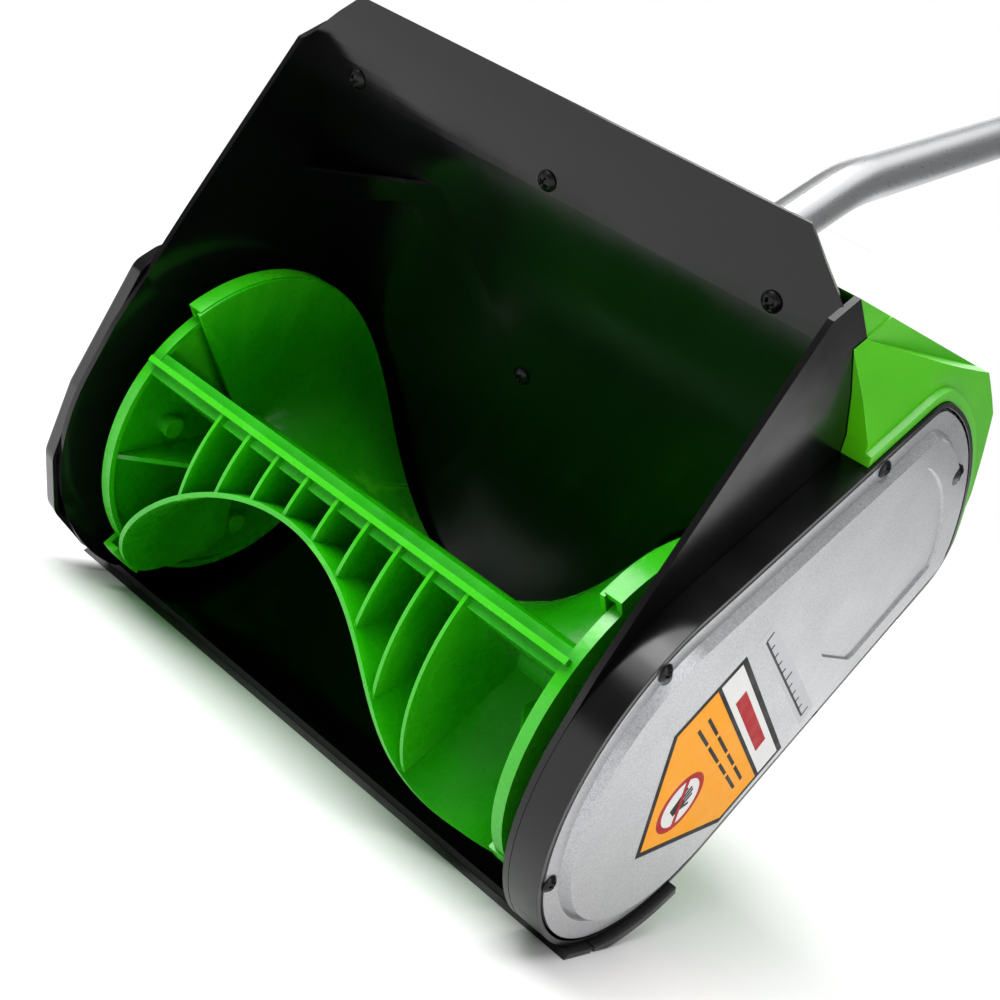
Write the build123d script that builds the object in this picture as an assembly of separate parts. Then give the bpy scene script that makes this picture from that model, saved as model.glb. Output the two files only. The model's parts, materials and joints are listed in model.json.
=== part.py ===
from build123d import *
import os
from math import acos, atan2, cos, degrees, hypot, radians, sin, tan

# Cordless snow shovel, millimetres.
# +Z is up, +Y points back towards the operator, X is across the machine.
# The origin is on the ground under the middle of the scraper bar.
# The scoop's side profiles are drawn as (u, w): behind and above the rotor's axis.
# The handle's profiles are drawn as (s, t): along and across the straight tube.

# ---------------------------------------------------------------- driving sizes
MOUTH_WIDTH = 304.0          # clearing width between the scoop's side walls
BAR_REACH = 23.0             # scraper bar beyond the mouth, on each side
SCOOP_R = 94.0               # inner radius of the scoop's floor
SCOOP_WALL = 3.0
SCRAPER_T = 3.0
SCRAPER_FRONT = -18.0        # front edge of the scraper bar, from the rotor's axis
SCRAPER_DEPTH = 26.0
HOOD_ANGLE = 46.5            # where the round floor turns into the straight hood
HOOD_LENGTH = 172.0
HOOD_BEND_R = 150.0          # the hood turns gently upright near its top
CROWN_ANGLE = 117.0
CROWN_LENGTH = 27.0
LIP_ANGLE = 110.0            # small fold along the top edge
LIP_LENGTH = 10.5
LIP_INSET = 25.0             # hood's top edge, in from each side wall
RIM_RISE = 5.4               # top of the side walls' front rims above the hood's bend

SWEEP_GAP = 3.0              # between the rotor's fins and the scoop's floor
FIN_STEP = 8.0               # fins stand proud of the end discs
PADDLE_STEP = 4.0            # and proud of the paddles' middles
DISC_T = 3.0
DISC_GAP = 14.0              # between a disc and the side wall
PADDLE_T = 3.0
WEB_ANGLE = 16.6
RIB_COUNT = 9
RIB_PITCH = 20.0
HUB_R = 13.0
SHAFT_R = 5.0
RUN_FIT = 0.05               # radial clearance of running shafts
GAP = 0.3                    # between faces that pass or touch on different bodies

BEARING_R = 13.0             # 10 x 26 x 8 ball bearings
BEARING_W = 8.0

CASE_DEPTH = 16.0            # belt case, from the side wall outwards
CASE_WALL = 2.5
CASE_MARGIN = 4.0            # black edge of the case outside the silver cover
COVER_T = 2.5
COVER_RAISE = 4.0
MOTOR_GAP = 15.6             # between the scoop's back and the motor
DRIVEN_R = 46.0              # pulleys, pitch radius
DRIVE_R = 11.5
PULLEY_W = 8.0
BELT_T = 2.4
BELT_W = 6.0
IDLER_R = 9.0
MOTOR_R = 26.0
MOTOR_LENGTH = 92.0
MOTOR_SHAFT_R = 4.0

COVER_WALL = 3.0
BAND_GAP = 1.5
BAND_T = 8.0
FLANK_REACH = 66.0
FLANK_RISE = 11.0
FLANK_TAPER = 78.0

TUBE_R = 14.0
TUBE_WALL = 1.5
TUBE_SLOPE_LOW = 42.7
TUBE_SLOPE = 28.1
BEND_BEHIND = 119.0          # corner of the tube's axis, behind and above the motor
BEND_ABOVE = 179.0
TUBE_BEND_R = 70.0
LOWER_RUN = 380.0            # bend to the joint between the two tubes
UPPER_RUN = 560.0            # joint between the tubes to the handle
LOWER_STUB = 148.0           # bend down into the socket

GRIP_HALF = 18.0             # half width of the rear handle
SHELL_WALL = 2.5
BATTERY_WIDTH = 76.0
BATTERY_LENGTH = 124.0
BATTERY_HEIGHT = 58.0

AXIS_Y = -SCRAPER_FRONT - SCRAPER_DEPTH / 2
AXIS_Z = SCOOP_R + SCOOP_WALL + SCRAPER_T
WALL_X = MOUTH_WIDTH / 2               # inner face of a side wall
SIDE_X = WALL_X + SCOOP_WALL           # outer face of a side wall
CASE_X = SIDE_X + CASE_DEPTH           # belt case's open edge
SCOOP_OUT_R = SCOOP_R + SCOOP_WALL
BELT_FRONT_R = SCOOP_OUT_R - CASE_MARGIN - 0.1   # silver cover around the rotor's axis
FIN_R = SCOOP_R - SWEEP_GAP
DISC_R = FIN_R - FIN_STEP              # rotor end discs
PADDLE_R = FIN_R - PADDLE_STEP
DISC_X = WALL_X - DISC_GAP - DISC_T    # inner faces of the discs

os.makedirs("parts", exist_ok=True)


# ---------------------------------------------------------------- helpers
def polar(radius, angle, centre=(0.0, 0.0)):
    """Point at an angle from +u (backwards), turning up."""
    return (centre[0] + radius * cos(radians(angle)), centre[1] + radius * sin(radians(angle)))


def past(corner, *steps):
    """Points at steps behind and above a corner."""
    return [(corner[0] + back, corner[1] + up) for back, up in steps]


def ahead(radius, angle):
    """Point at an angle from straight ahead of the rotor, turning up."""
    return polar(radius, 180.0 - angle)


def at_axis(shape):
    """Move a shape drawn about the rotor's axis to its place."""
    return Pos(0, AXIS_Y, AXIS_Z) * shape


def slab(face, x0, x1):
    """Push a (u, w) face from x0 to x1."""
    return extrude(Plane.YZ.offset(x0) * face, x1 - x0)


def area(*points, radius=0.0):
    """Closed polygon, with its corners rounded if a radius is given."""
    shape = make_face(Polyline(*points, close=True))
    if radius:
        shape = fillet(shape.vertices(), radius)
    return shape


def disc(radius, centre=(0.0, 0.0)):
    return Pos(centre[0], centre[1]) * Circle(radius)


def ring(outer, inner, centre=(0.0, 0.0)):
    return Pos(centre[0], centre[1]) * (Circle(outer) - Circle(inner))


def sector(outer, inner, start, end):
    """Part of a ring between two angles, turning up from +u."""
    middle = (start + end) / 2
    edges = Line(polar(inner, start), polar(outer, start))
    edges += ThreePointArc(polar(outer, start), polar(outer, middle), polar(outer, end))
    edges += Line(polar(outer, end), polar(inner, end))
    edges += ThreePointArc(polar(inner, end), polar(inner, middle), polar(inner, start))
    return make_face(edges)


def rod_x(radius, x0, x1, centre=(0.0, 0.0)):
    """Round bar along X between x0 and x1."""
    return slab(disc(radius, centre), min(x0, x1), max(x0, x1))


def save(name, *shapes):
    """Write one node: one solid, or a group of separate solids."""
    solids = [solid for shape in shapes for solid in shape.solids()]
    result = solids[0] if len(solids) == 1 else Compound(children=solids)
    export_step(result, f"parts/{name}.step")
    print(f"{name}: {len(solids)} solid(s), {sum(s.volume for s in solids) / 1000:.1f} cm3")


def mirror_x(shape):
    return mirror(shape, about=Plane.YZ)


# ---------------------------------------------------------------- side profiles
FLOOR_FRONT = SCRAPER_FRONT + 2.0
HOOD_FOOT = polar(SCOOP_R, HOOD_ANGLE)
HOOD_TOP = polar(HOOD_LENGTH, HOOD_ANGLE + 90, HOOD_FOOT)
CROWN_TOP = polar(CROWN_LENGTH, CROWN_ANGLE, HOOD_TOP)
LIP_TOP = polar(LIP_LENGTH, LIP_ANGLE, CROWN_TOP)
RIM_U = HOOD_TOP[0] - 12.0             # front rim of a side wall at its top
RIM_HEIGHT = HOOD_TOP[1] + RIM_RISE
LIP_HALF = WALL_X - LIP_INSET
SEAM = past(HOOD_TOP, (0, 18.4), (30, 6.4), (60, -11.6), (84, -29.6), (102, -48.6), (112, -68.6))
PULLEY_SPAN = SCOOP_OUT_R + MOTOR_GAP + MOTOR_R
MOTOR_ANGLE = 45.0
MOTOR_AT = polar(PULLEY_SPAN, MOTOR_ANGLE)


def hood_bend(offset_out):
    """Start, middle and end of the hood's gentle bend, on its inner face or offset outwards."""
    half = (HOOD_ANGLE + 90 - CROWN_ANGLE) / 2
    run = HOOD_BEND_R * tan(radians(half))
    start = polar(run, HOOD_ANGLE - 90, HOOD_TOP)
    centre = polar(HOOD_BEND_R, HOOD_ANGLE, start)
    radius = HOOD_BEND_R - offset_out
    return [polar(radius, HOOD_ANGLE + 180 - turn, centre) for turn in (0, half, 2 * half)]


def scoop_wall_profile():
    """Floor, round back, hood, crown and lip as one strip of constant thickness."""
    middle = (HOOD_ANGLE - 90) / 2
    foot_out = polar(SCOOP_WALL, HOOD_ANGLE, HOOD_FOOT)
    inner = hood_bend(0)
    outer = hood_bend(SCOOP_WALL)
    crown_out = polar(SCOOP_WALL, (CROWN_ANGLE + LIP_ANGLE) / 2 - 90, CROWN_TOP)
    lip_out = polar(SCOOP_WALL, LIP_ANGLE - 90, LIP_TOP)
    edges = Line((FLOOR_FRONT, -SCOOP_R), (0, -SCOOP_R))
    edges += ThreePointArc((0, -SCOOP_R), polar(SCOOP_R, middle), HOOD_FOOT)
    edges += Line(HOOD_FOOT, inner[0]) + ThreePointArc(*inner) + Line(inner[2], CROWN_TOP)
    edges += Line(CROWN_TOP, LIP_TOP) + Line(LIP_TOP, lip_out) + Line(lip_out, crown_out)
    edges += Line(crown_out, outer[2]) + ThreePointArc(*reversed(outer)) + Line(outer[0], foot_out)
    edges += ThreePointArc(foot_out, polar(SCOOP_OUT_R, middle), (0, -SCOOP_OUT_R))
    edges += Line((0, -SCOOP_OUT_R), (FLOOR_FRONT, -SCOOP_OUT_R))
    edges += Line((FLOOR_FRONT, -SCOOP_OUT_R), (FLOOR_FRONT, -SCOOP_R))
    return make_face(edges)


def side_wall_profile():
    """Scoop side wall: a disc around the rotor that runs up to the hood's corner."""
    front = past((-SCOOP_OUT_R, 0), (0, 0), (1, 30), (10, 96))
    upper = area(*front, (RIM_U, RIM_HEIGHT), *SEAM, polar(SCOOP_OUT_R, 30), (0, 0))
    return disc(SCOOP_OUT_R) + upper


def belt_profile(grow=0.0):
    """Outline of the silver belt cover: round in front, a blunt rounded end above the motor."""
    top, bottom = polar(BELT_FRONT_R, 134), polar(BELT_FRONT_R, 327)
    rear = past(MOTOR_AT, (86, 22), (28, 74), (-48, 88))
    edges = Line(rear[2], top) + ThreePointArc(top, polar(BELT_FRONT_R, 230), bottom)
    edges += Line(bottom, rear[0]) + ThreePointArc(*rear)
    face = make_face(edges)
    corners = [vertex for vertex in face.vertices() if vertex.Y > MOTOR_AT[1]]
    face = fillet(corners, 20)
    return offset(face, grow) if grow else face


COVER_BACK = past(MOTOR_AT, (10, 115), (54, 101), (90, 60), (94, 10), (52, -78))
COVER_BACK += [polar(SCOOP_OUT_R + 15.7, -27.5), polar(SCOOP_OUT_R + 7.8, -60.3)]


def rear_cover_profile():
    """Green rear cover: from the hood's seam over the motor and down to the floor."""
    outline = area(*reversed(SEAM), *COVER_BACK, (0, -50), (0, 0), polar(SCOOP_OUT_R + 0.1, 30))
    return outline - disc(SCOOP_OUT_R + 0.1)


# ---------------------------------------------------------------- scoop
def scoop_housing():
    strip = slab(scoop_wall_profile(), -SIDE_X, SIDE_X)
    corner = area((LIP_HALF, LIP_TOP[1] + 1), (SIDE_X + 1, RIM_HEIGHT + 4), (SIDE_X + 1, LIP_TOP[1] + 1))
    corner_cut = extrude(Plane.XZ * corner, 200, both=True)
    strip = strip - corner_cut - mirror_x(corner_cut)
    wall = slab(side_wall_profile(), WALL_X, SIDE_X)
    # Bearing housing on each side wall, open to the outside.
    boss = rod_x(BEARING_R + 4, WALL_X - 8, SIDE_X)
    side = wall + boss
    side -= rod_x(BEARING_R, SIDE_X - BEARING_W - 1, SIDE_X + 1)
    side -= rod_x(SHAFT_R + 3, WALL_X - 10, SIDE_X)
    body = strip + side + mirror_x(side)
    for angle in CASE_SCREW_ANGLES:
        body -= rod_x(1.7, -SIDE_X - 1, -WALL_X + 1, polar(CASE_SCREW_R, angle))
    body += corner_brace()
    for x, point, normal in HOOD_SCREWS:
        body -= screw_hole(x, point, normal)
    return at_axis(body)


HOOD_SCREW_R = 2.0
HOOD_SCREW_X = WALL_X - 30.0
BEND_MIDDLE = hood_bend(0)[1]
BEND_NORMAL = (HOOD_ANGLE + CROWN_ANGLE - 90) / 2
# Place across the hood, place in profile, and the direction of the shank.
HOOD_SCREWS = [(x, BEND_MIDDLE, BEND_NORMAL) for x in (-HOOD_SCREW_X, 0.0, HOOD_SCREW_X)]
HOOD_SCREWS.append((-16.0, polar(48.0, HOOD_ANGLE + 90, HOOD_FOOT), HOOD_ANGLE))


def into_mouth(x, point, normal):
    """Frame on the hood's inner face whose Z points into the mouth."""
    angle = radians(normal + 180)
    return Plane(origin=(x, point[0], point[1]), x_dir=(1, 0, 0), z_dir=(0, cos(angle), sin(angle)))


def screw_hole(x, point, normal):
    return into_mouth(x, point, normal) * Pos(0, 0, -10) * Cylinder(HOOD_SCREW_R + 0.2, 30)


def dome_screw(radius, height, shank_r, shank_length):
    """Button-head screw: head above Z=0, shank below, hexagon recess in the head."""
    dome_r = (radius ** 2 + height ** 2) / (2 * height)
    head = Pos(0, 0, height - dome_r) * Sphere(dome_r) & Pos(0, 0, height) * Box(
        2 * radius, 2 * radius, 2 * height)
    head = head & Cylinder(radius, 4 * height)
    head -= Pos(0, 0, height - 1.2) * extrude(RegularPolygon(radius * 0.42, 6), 3)
    return head + Pos(0, 0, -shank_length / 2) * Cylinder(shank_r, shank_length)


def corner_brace():
    """Slanted strip between the left wall and the hood."""
    corners = past(HOOD_TOP, (51, -60.6), (30, -49.6), (25, -20.6))
    low, high = [Vector(-WALL_X - 1, u, w) for u, w in corners[:2]]
    end = Vector(-WALL_X + 92, *corners[2])
    far = end + (low - high) * 0.4
    plane = Plane(origin=high, x_dir=low - high, z_dir=(low - high).cross(end - high))
    corners = [plane.to_local_coords(point) for point in (high, low, far, end)]
    face = make_face(Polyline(*[(c.X, c.Y) for c in corners], close=True))
    return extrude(plane * face, 1.0, both=True)


def hood_screws():
    result = []
    for x, point, normal in HOOD_SCREWS:
        screw = dome_screw(5.0, 3.4, HOOD_SCREW_R, 10.0)
        result.append(at_axis(into_mouth(x, point, normal) * screw))
    return result


def scraper_bar():
    low = -AXIS_Z
    front = SCRAPER_FRONT
    back = front + SCRAPER_DEPTH
    face = area((front, low), (back, low), (back, low + SCRAPER_T), (front + 3, low + SCRAPER_T))
    bar = slab(face, -WALL_X - BAR_REACH, WALL_X + BAR_REACH)
    return at_axis(bar)


def skid():
    """Curved runner under the belt case or the left case, behind the scraper bar."""
    inner = BELT_FRONT_R + CASE_MARGIN + 0.3
    runner = sector(inner + 6, inner, -84, -46)
    runner &= area((SCRAPER_FRONT + SCRAPER_DEPTH + 0.4, -AXIS_Z), (120, -AXIS_Z), (120, 0), (-1, 0),
                   (-1, -90), (SCRAPER_FRONT + SCRAPER_DEPTH + 0.4, -90))
    return at_axis(slab(runner, SIDE_X + 2, WALL_X + BAR_REACH))


# ---------------------------------------------------------------- left side case
# Outline of the left case: distance outside the scoop's own radius, and angle.
LEFT_CASE = [(14.8, 137.2), (15.6, 146.6), (-0.8, 183.6), (3.2, 206), (4.8, 225), (0.5, 244.5), (-4, 270),
             (-1.6, 303), (-1.3, 334), (-2.9, 12.3), (-3.6, 43.3), (-12.4, 83.2)]


def left_side_case():
    outline = area(*[polar(SCOOP_OUT_R + reach, angle) for reach, angle in LEFT_CASE], radius=14)
    skin = extrude(Plane.YZ.offset(-SIDE_X) * outline, -LEFT_CASE_DEPTH, taper=12)
    skin = fillet(skin.faces().sort_by(Axis.X)[0].edges(), 4)
    inner = extrude(Plane.YZ.offset(-SIDE_X) * offset(outline, -2.5), -LEFT_CASE_DEPTH + 2.5, taper=12)
    case = skin - inner
    for angle in CASE_SCREW_ANGLES:
        boss = rod_x(4.5, -SIDE_X - LEFT_CASE_DEPTH + 1, -SIDE_X, polar(CASE_SCREW_R, angle))
        case += boss
    for angle in CASE_SCREW_ANGLES:
        case -= rod_x(1.7, -SIDE_X - 20, -SIDE_X + 1, polar(CASE_SCREW_R, angle))
    return at_axis(case)


CASE_SCREW_ANGLES = (20, 110, 200, 290)
CASE_SCREW_R = 66.0
LEFT_CASE_DEPTH = 11.0


def side_case_screws():
    result = []
    for angle in CASE_SCREW_ANGLES:
        u, w = polar(CASE_SCREW_R, angle)
        screw = Rot(0, -90, 0) * dome_screw(3.5, 2.0, 1.5, 12.0)
        result.append(at_axis(Pos(-SIDE_X - LEFT_CASE_DEPTH, u, w) * screw))
    return result


# ---------------------------------------------------------------- rotor
# A paddle's outer edge: place across the rotor as a share of its half width, and angle ahead. The
# middle leads and the ends trail along the end discs as fins, so the snow is drawn in from the sides.
FIN_X = DISC_X - 6.0
PADDLE_TRACE = [(-1, -88), (-0.969, -62), (-0.884, -42), (-0.744, -25), (-0.519, -9), (-0.256, 0), (-0.016, 0.5),
                (0.209, -6.5), (0.395, -21), (0.543, -42), (0.698, -60), (0.853, -69), (0.969, -84), (1, -104)]
PADDLE_TRACE = [(FIN_X * share, angle) for share, angle in PADDLE_TRACE]
PADDLE_STEPS = 34
FIN_START = 58.0
FIN_SINK = 0.6               # a sheet ends just inside the rim that closes it
FRONT_FINS = (112.0, 132.0)   # how far the left and right fins trail on each paddle
REAR_FINS = (153.0, 153.0)
SHORT_FIN = 120.0            # a left fin that trails less than this is cut back
LOW_FIN_R = DISC_R + 1.0     # the first paddle's right end stays level with its disc
REAR_TURN = 9.0              # the second paddle is set a little ahead of opposite


def paddle_trace(fins):
    left, right = fins
    head = [(-FIN_X, -left), (-FIN_X, -(left + 88) / 2)]
    tail = [(FIN_X, -(right + 104) / 2), (FIN_X, -right)]
    return head + PADDLE_TRACE + tail


def paddle_angle(x):
    """Angle of the paddle at a place across the rotor, by straight lines between its points."""
    for (x0, a0), (x1, a1) in zip(PADDLE_TRACE, PADDLE_TRACE[1:]):
        if x0 < x <= x1:
            return a0 + (a1 - a0) * (x - x0) / (x1 - x0)
    return PADDLE_TRACE[-1][1]


def paddle_reach(x, angle, short):
    """Radius of the paddle's outer edge: it changes near the ends, and is cut back on a short fin."""
    rise = min(max((abs(x) / FIN_X - 0.744) / 0.256, 0), 1)
    end_radius = LOW_FIN_R if short and x > 0 else FIN_R
    radius = PADDLE_R + (end_radius - FIN_SINK - PADDLE_R) * rise
    if short and x < 0 and angle < -70:
        radius -= (-70 - angle) * 0.65
    return radius


def paddle_section(point, along, short):
    """Radial strip of a paddle, as thick as the wall and square to the paddle's run."""
    angle = point.Y / PADDLE_R
    radial = Vector(0, -cos(angle), sin(angle))
    around = Vector(0, sin(angle), cos(angle))
    half = (Vector(1, 0, 0) * -along.Y + around * along.X) * (PADDLE_T / 2)
    foot = Vector(point.X, 0, 0) + radial * 8
    tip = Vector(point.X, 0, 0) + radial * paddle_reach(point.X, degrees(angle), short)
    return make_face(Polyline(foot + half, tip + half * 0.8, tip - half * 0.8, foot - half, close=True))


def paddle(fins, turn):
    """Curved sheet with a rim and an end plate where its fins run along the discs."""
    short = fins[0] < SHORT_FIN
    trace = Spline(*[(x, PADDLE_R * radians(angle)) for x, angle in paddle_trace(fins)])
    steps = [index / PADDLE_STEPS for index in range(PADDLE_STEPS + 1)]
    body = loft([paddle_section(trace @ step, trace % step, short) for step in steps])
    body += fin(1, fins[1] - 1, LOW_FIN_R if short else FIN_R)
    body += fin(-1, FIN_START + 16 if short else fins[0] - 1, FIN_R)
    return Rot(-turn, 0, 0) * body


def fin(side, end, radius):
    """Raised sector of an end disc with a rim that closes against the paddle's end."""
    plate = slab(sector(radius, DISC_R - 4, 180 + FIN_START, 180 + end), DISC_X, DISC_X + DISC_T)
    plate += slab(sector(radius, radius - PADDLE_T, 180 + FIN_START, 180 + end), FIN_X, DISC_X)
    return plate if side > 0 else mirror_x(plate)


def rib(x, turn):
    """Sector-shaped rib between the web and the paddle's upper face."""
    start = 180 - WEB_ANGLE
    end = 180 - paddle_angle(x) - turn
    return slab(sector(PADDLE_R - 1.5, 10, start, end), x - 0.9, x + 0.9)


def gusset(side):
    """Triangular stiffener between the web and an end disc."""
    u, w = ahead(56, WEB_ANGLE - 38)
    x0 = side * (DISC_X - 28)
    x1 = side * (DISC_X + 1)
    direction = Vector(0, u, w).normalized()
    plate = Plane(origin=(0, 0, 0), x_dir=(1, 0, 0), z_dir=(0, -direction.Z, direction.Y))
    triangle = area((x1, 11), (x1, DISC_R - 3.4), (x0, 40), (x0, 11))
    return extrude(plate * triangle, 1.2, both=True)


def rotor_half(fins, turn):
    half = paddle(fins, turn)
    for index in range(RIB_COUNT):
        half += rib((index - (RIB_COUNT - 1) / 2) * RIB_PITCH, turn)
    half += gusset(1) + gusset(-1)
    for radius, angle in ((52, -6), (58, 60)):
        half += rod_x(5.5, -DISC_X - 1, -DISC_X + 7, ahead(radius, angle))
    return half


def auger_rotor():
    discs = rod_x(DISC_R, DISC_X, DISC_X + DISC_T) + rod_x(DISC_R, -DISC_X - DISC_T, -DISC_X)
    rim = slab(ring(DISC_R, DISC_R - 3), DISC_X - 3, DISC_X)
    discs += rim + mirror_x(rim)
    hub = rod_x(HUB_R, -DISC_X - DISC_T - 4, DISC_X + DISC_T + 4)
    # The web is a plate with a thinner, slightly narrower ledge on each side of it.
    web_face = Rectangle(2 * PADDLE_R, PADDLE_T) + Rectangle(2 * PADDLE_R - 9, PADDLE_T + 9)
    web = slab(Rot(0, 0, 180 - WEB_ANGLE) * web_face, -DISC_X, DISC_X)
    front = rotor_half(FRONT_FINS, 0.0)
    rear = rotor_half(REAR_FINS, REAR_TURN)
    rotor = discs + hub + web + front + Rot(180, 0, 0) * rear
    rotor -= rod_x(SHAFT_R, -200, 200)
    return at_axis(rotor)


SHAFT_END = CASE_X - 4.5


def rotor_shaft():
    shaft = rod_x(SHAFT_R, -SIDE_X + 0.5, SHAFT_END)
    return at_axis(shaft)


def bearing():
    """Ball bearing: two rings and the balls, as one group standing on the right."""
    x1 = SIDE_X
    x0 = x1 - BEARING_W
    outer = slab(ring(BEARING_R, BEARING_R - 3), x0, x1)
    inner = slab(ring(SHAFT_R + 3, SHAFT_R + RUN_FIT), x0, x1)
    shield = slab(ring(BEARING_R - 3, SHAFT_R + 3), x0 + 1, x1 - 1)
    return at_axis(outer + inner + shield)


# ---------------------------------------------------------------- belt drive
BELT_X = SIDE_X + CASE_WALL + 1.2 + PULLEY_W / 2


def belt_case():
    outline = belt_profile(CASE_MARGIN)
    case = slab(outline, SIDE_X, CASE_X)
    case -= slab(offset(outline, -CASE_WALL), SIDE_X + CASE_WALL, CASE_X + 1)
    case -= rod_x(SHAFT_R + 3, SIDE_X - 1, SIDE_X + 10)
    case -= rod_x(12, SIDE_X - 1, SIDE_X + 10, MOTOR_AT)
    for point in COVER_SCREWS:
        case += rod_x(5, SIDE_X, CASE_X - COVER_T, point) & slab(outline, SIDE_X, CASE_X)
    for point in COVER_SCREWS:
        case -= rod_x(1.7, SIDE_X + 1, CASE_X + 1, point)
    for angle in (45, 135, 225, 315):
        case -= rod_x(2.2, SIDE_X - 1, SIDE_X + 10, polar(18, angle, MOTOR_AT))
    return at_axis(case)


COVER_SCREWS = [polar(BELT_FRONT_R - 3.8, 151.1), polar(BELT_FRONT_R - 2.6, 219.2)]
COVER_SCREWS += past(MOTOR_AT, (-76, 53), (13, 67), (22, -70))


def belt_cover():
    flange = slab(belt_profile(), CASE_X - COVER_T, CASE_X)
    inner_line = belt_profile(-9)
    x0 = CASE_X - 0.01
    bulge = extrude(Plane.YZ.offset(x0) * inner_line, COVER_RAISE, taper=40)
    cover = flange + bulge
    cover -= extrude(Plane.YZ.offset(CASE_X - COVER_T - 0.01) * belt_profile(-12), COVER_RAISE, taper=40)
    # Sunk field near the motor end, and a small scallop at the front.
    sunk = belt_profile(-26) & area(*past(MOTOR_AT, (-28, -38), (102, -38), (102, 102), (-78, 102)))
    cover -= extrude(Plane.YZ.offset(CASE_X + COVER_RAISE) * fillet(sunk.vertices(), 9), -1.3, taper=30)
    for point in COVER_SCREWS:
        cover += rod_x(6.5, CASE_X - COVER_T, CASE_X, point) & slab(belt_profile(), CASE_X - COVER_T, CASE_X)
    for u, w in COVER_SCREWS:
        cover -= rod_x(6.5, CASE_X, CASE_X + 10, (u, w))
        cover -= rod_x(1.7, CASE_X - 10, CASE_X + 10, (u, w))
    return at_axis(cover)


def cover_screws():
    result = []
    for u, w in COVER_SCREWS:
        screw = Rot(0, 90, 0) * dome_screw(4.2, 2.6, 1.5, 10.0)
        result.append(at_axis(Pos(CASE_X, u, w) * screw))
    return result


def pulley(radius, bore, centre, spokes=0):
    """Flat-belt pulley with two flanges; its rim is under the belt."""
    rim_r = radius - BELT_T / 2
    half = PULLEY_W / 2
    body = rod_x(rim_r, BELT_X - half, BELT_X + half, centre)
    for x0 in (BELT_X - half, BELT_X + half - 0.8):
        body += rod_x(rim_r + BELT_T + 1.2, x0, x0 + 0.8, centre)
    if spokes:
        web = slab(ring(rim_r - 5, 14, centre), BELT_X - half - 1, BELT_X - 1.2)
        web += slab(ring(rim_r - 5, 14, centre), BELT_X + 1.2, BELT_X + half + 1)
        body -= web
        for index in range(spokes):
            body -= rod_x(8, BELT_X - 10, BELT_X + 10, polar(28, 360 * index / spokes, centre))
    return at_axis(body - rod_x(bore, BELT_X - 20, BELT_X + 20, centre))


def tangent_loop(radius_a, radius_b, grow):
    """Outline of a belt round two pulleys, grown outwards from its pitch line."""
    ra = radius_a + grow
    rb = radius_b + grow
    aim = MOTOR_ANGLE
    spread = degrees(acos((radius_a - radius_b) / PULLEY_SPAN))
    a1, a2 = polar(ra, aim + spread), polar(ra, aim - spread)
    b1, b2 = polar(rb, aim + spread, MOTOR_AT), polar(rb, aim - spread, MOTOR_AT)
    edges = Line(a1, b1) + ThreePointArc(b1, polar(rb, aim, MOTOR_AT), b2) + Line(b2, a2)
    edges += ThreePointArc(a2, polar(ra, aim + 180), a1)
    return make_face(edges)


def drive_belt():
    gap = 0.3
    outer = tangent_loop(DRIVEN_R, DRIVE_R, BELT_T / 2)
    inner = tangent_loop(DRIVEN_R, DRIVE_R, -BELT_T / 2 + gap)
    return at_axis(slab(outer, BELT_X - BELT_W / 2, BELT_X + BELT_W / 2)
                   - slab(inner, BELT_X - BELT_W, BELT_X + BELT_W))


def motor():
    x1 = SIDE_X
    can = rod_x(MOTOR_R, x1 - MOTOR_LENGTH, x1, MOTOR_AT)
    can += rod_x(10, x1, x1 + CASE_WALL, MOTOR_AT)
    can -= rod_x(MOTOR_SHAFT_R + RUN_FIT, x1 - MOTOR_LENGTH - 1, x1 + 20, MOTOR_AT)
    return at_axis(can)


def motor_shaft():
    shaft = rod_x(MOTOR_SHAFT_R, SIDE_X - MOTOR_LENGTH - 6, CASE_X - 4.5, MOTOR_AT)
    return at_axis(shaft)


def motor_fan():
    """Cooling fan on the motor's free end."""
    x1 = SIDE_X - MOTOR_LENGTH - 1
    hub = rod_x(8, x1 - 5, x1, MOTOR_AT)
    for index in range(8):
        blade = Rot(0, 0, 45 * index) * Pos(15, 0) * Rectangle(18, 1.6)
        hub += slab(Pos(*MOTOR_AT) * blade, x1 - 5, x1)
    return at_axis(hub - rod_x(MOTOR_SHAFT_R, x1 - 10, x1 + 10, MOTOR_AT))


def belt_idler():
    """Grooveless roller that presses on the belt's slack run, on a stud in the case."""
    x0 = BELT_X - PULLEY_W / 2
    roller = rod_x(IDLER_R, x0, x0 + PULLEY_W, IDLER_AT)
    return at_axis(roller - rod_x(IDLER_STUD_R + RUN_FIT, x0 - 1, x0 + PULLEY_W + 1, IDLER_AT))


def idler_stud():
    stud = rod_x(IDLER_STUD_R, SIDE_X + CASE_WALL, BELT_X + PULLEY_W / 2 + 0.6, IDLER_AT)
    stud += rod_x(IDLER_STUD_R + 2.5, BELT_X + PULLEY_W / 2 + 0.6, BELT_X + PULLEY_W / 2 + 1.8, IDLER_AT)
    return at_axis(stud)


def idler_place():
    """Centre of the idler: it bears on the back of the belt's lower run."""
    aim = MOTOR_ANGLE
    spread = degrees(acos((DRIVEN_R - DRIVE_R) / PULLEY_SPAN))
    touch = polar(DRIVEN_R + BELT_T / 2 + IDLER_R + 0.1, aim - spread)
    return polar(82.0, aim - spread + 90, touch)


IDLER_STUD_R = 3.0
IDLER_AT = idler_place()


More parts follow.
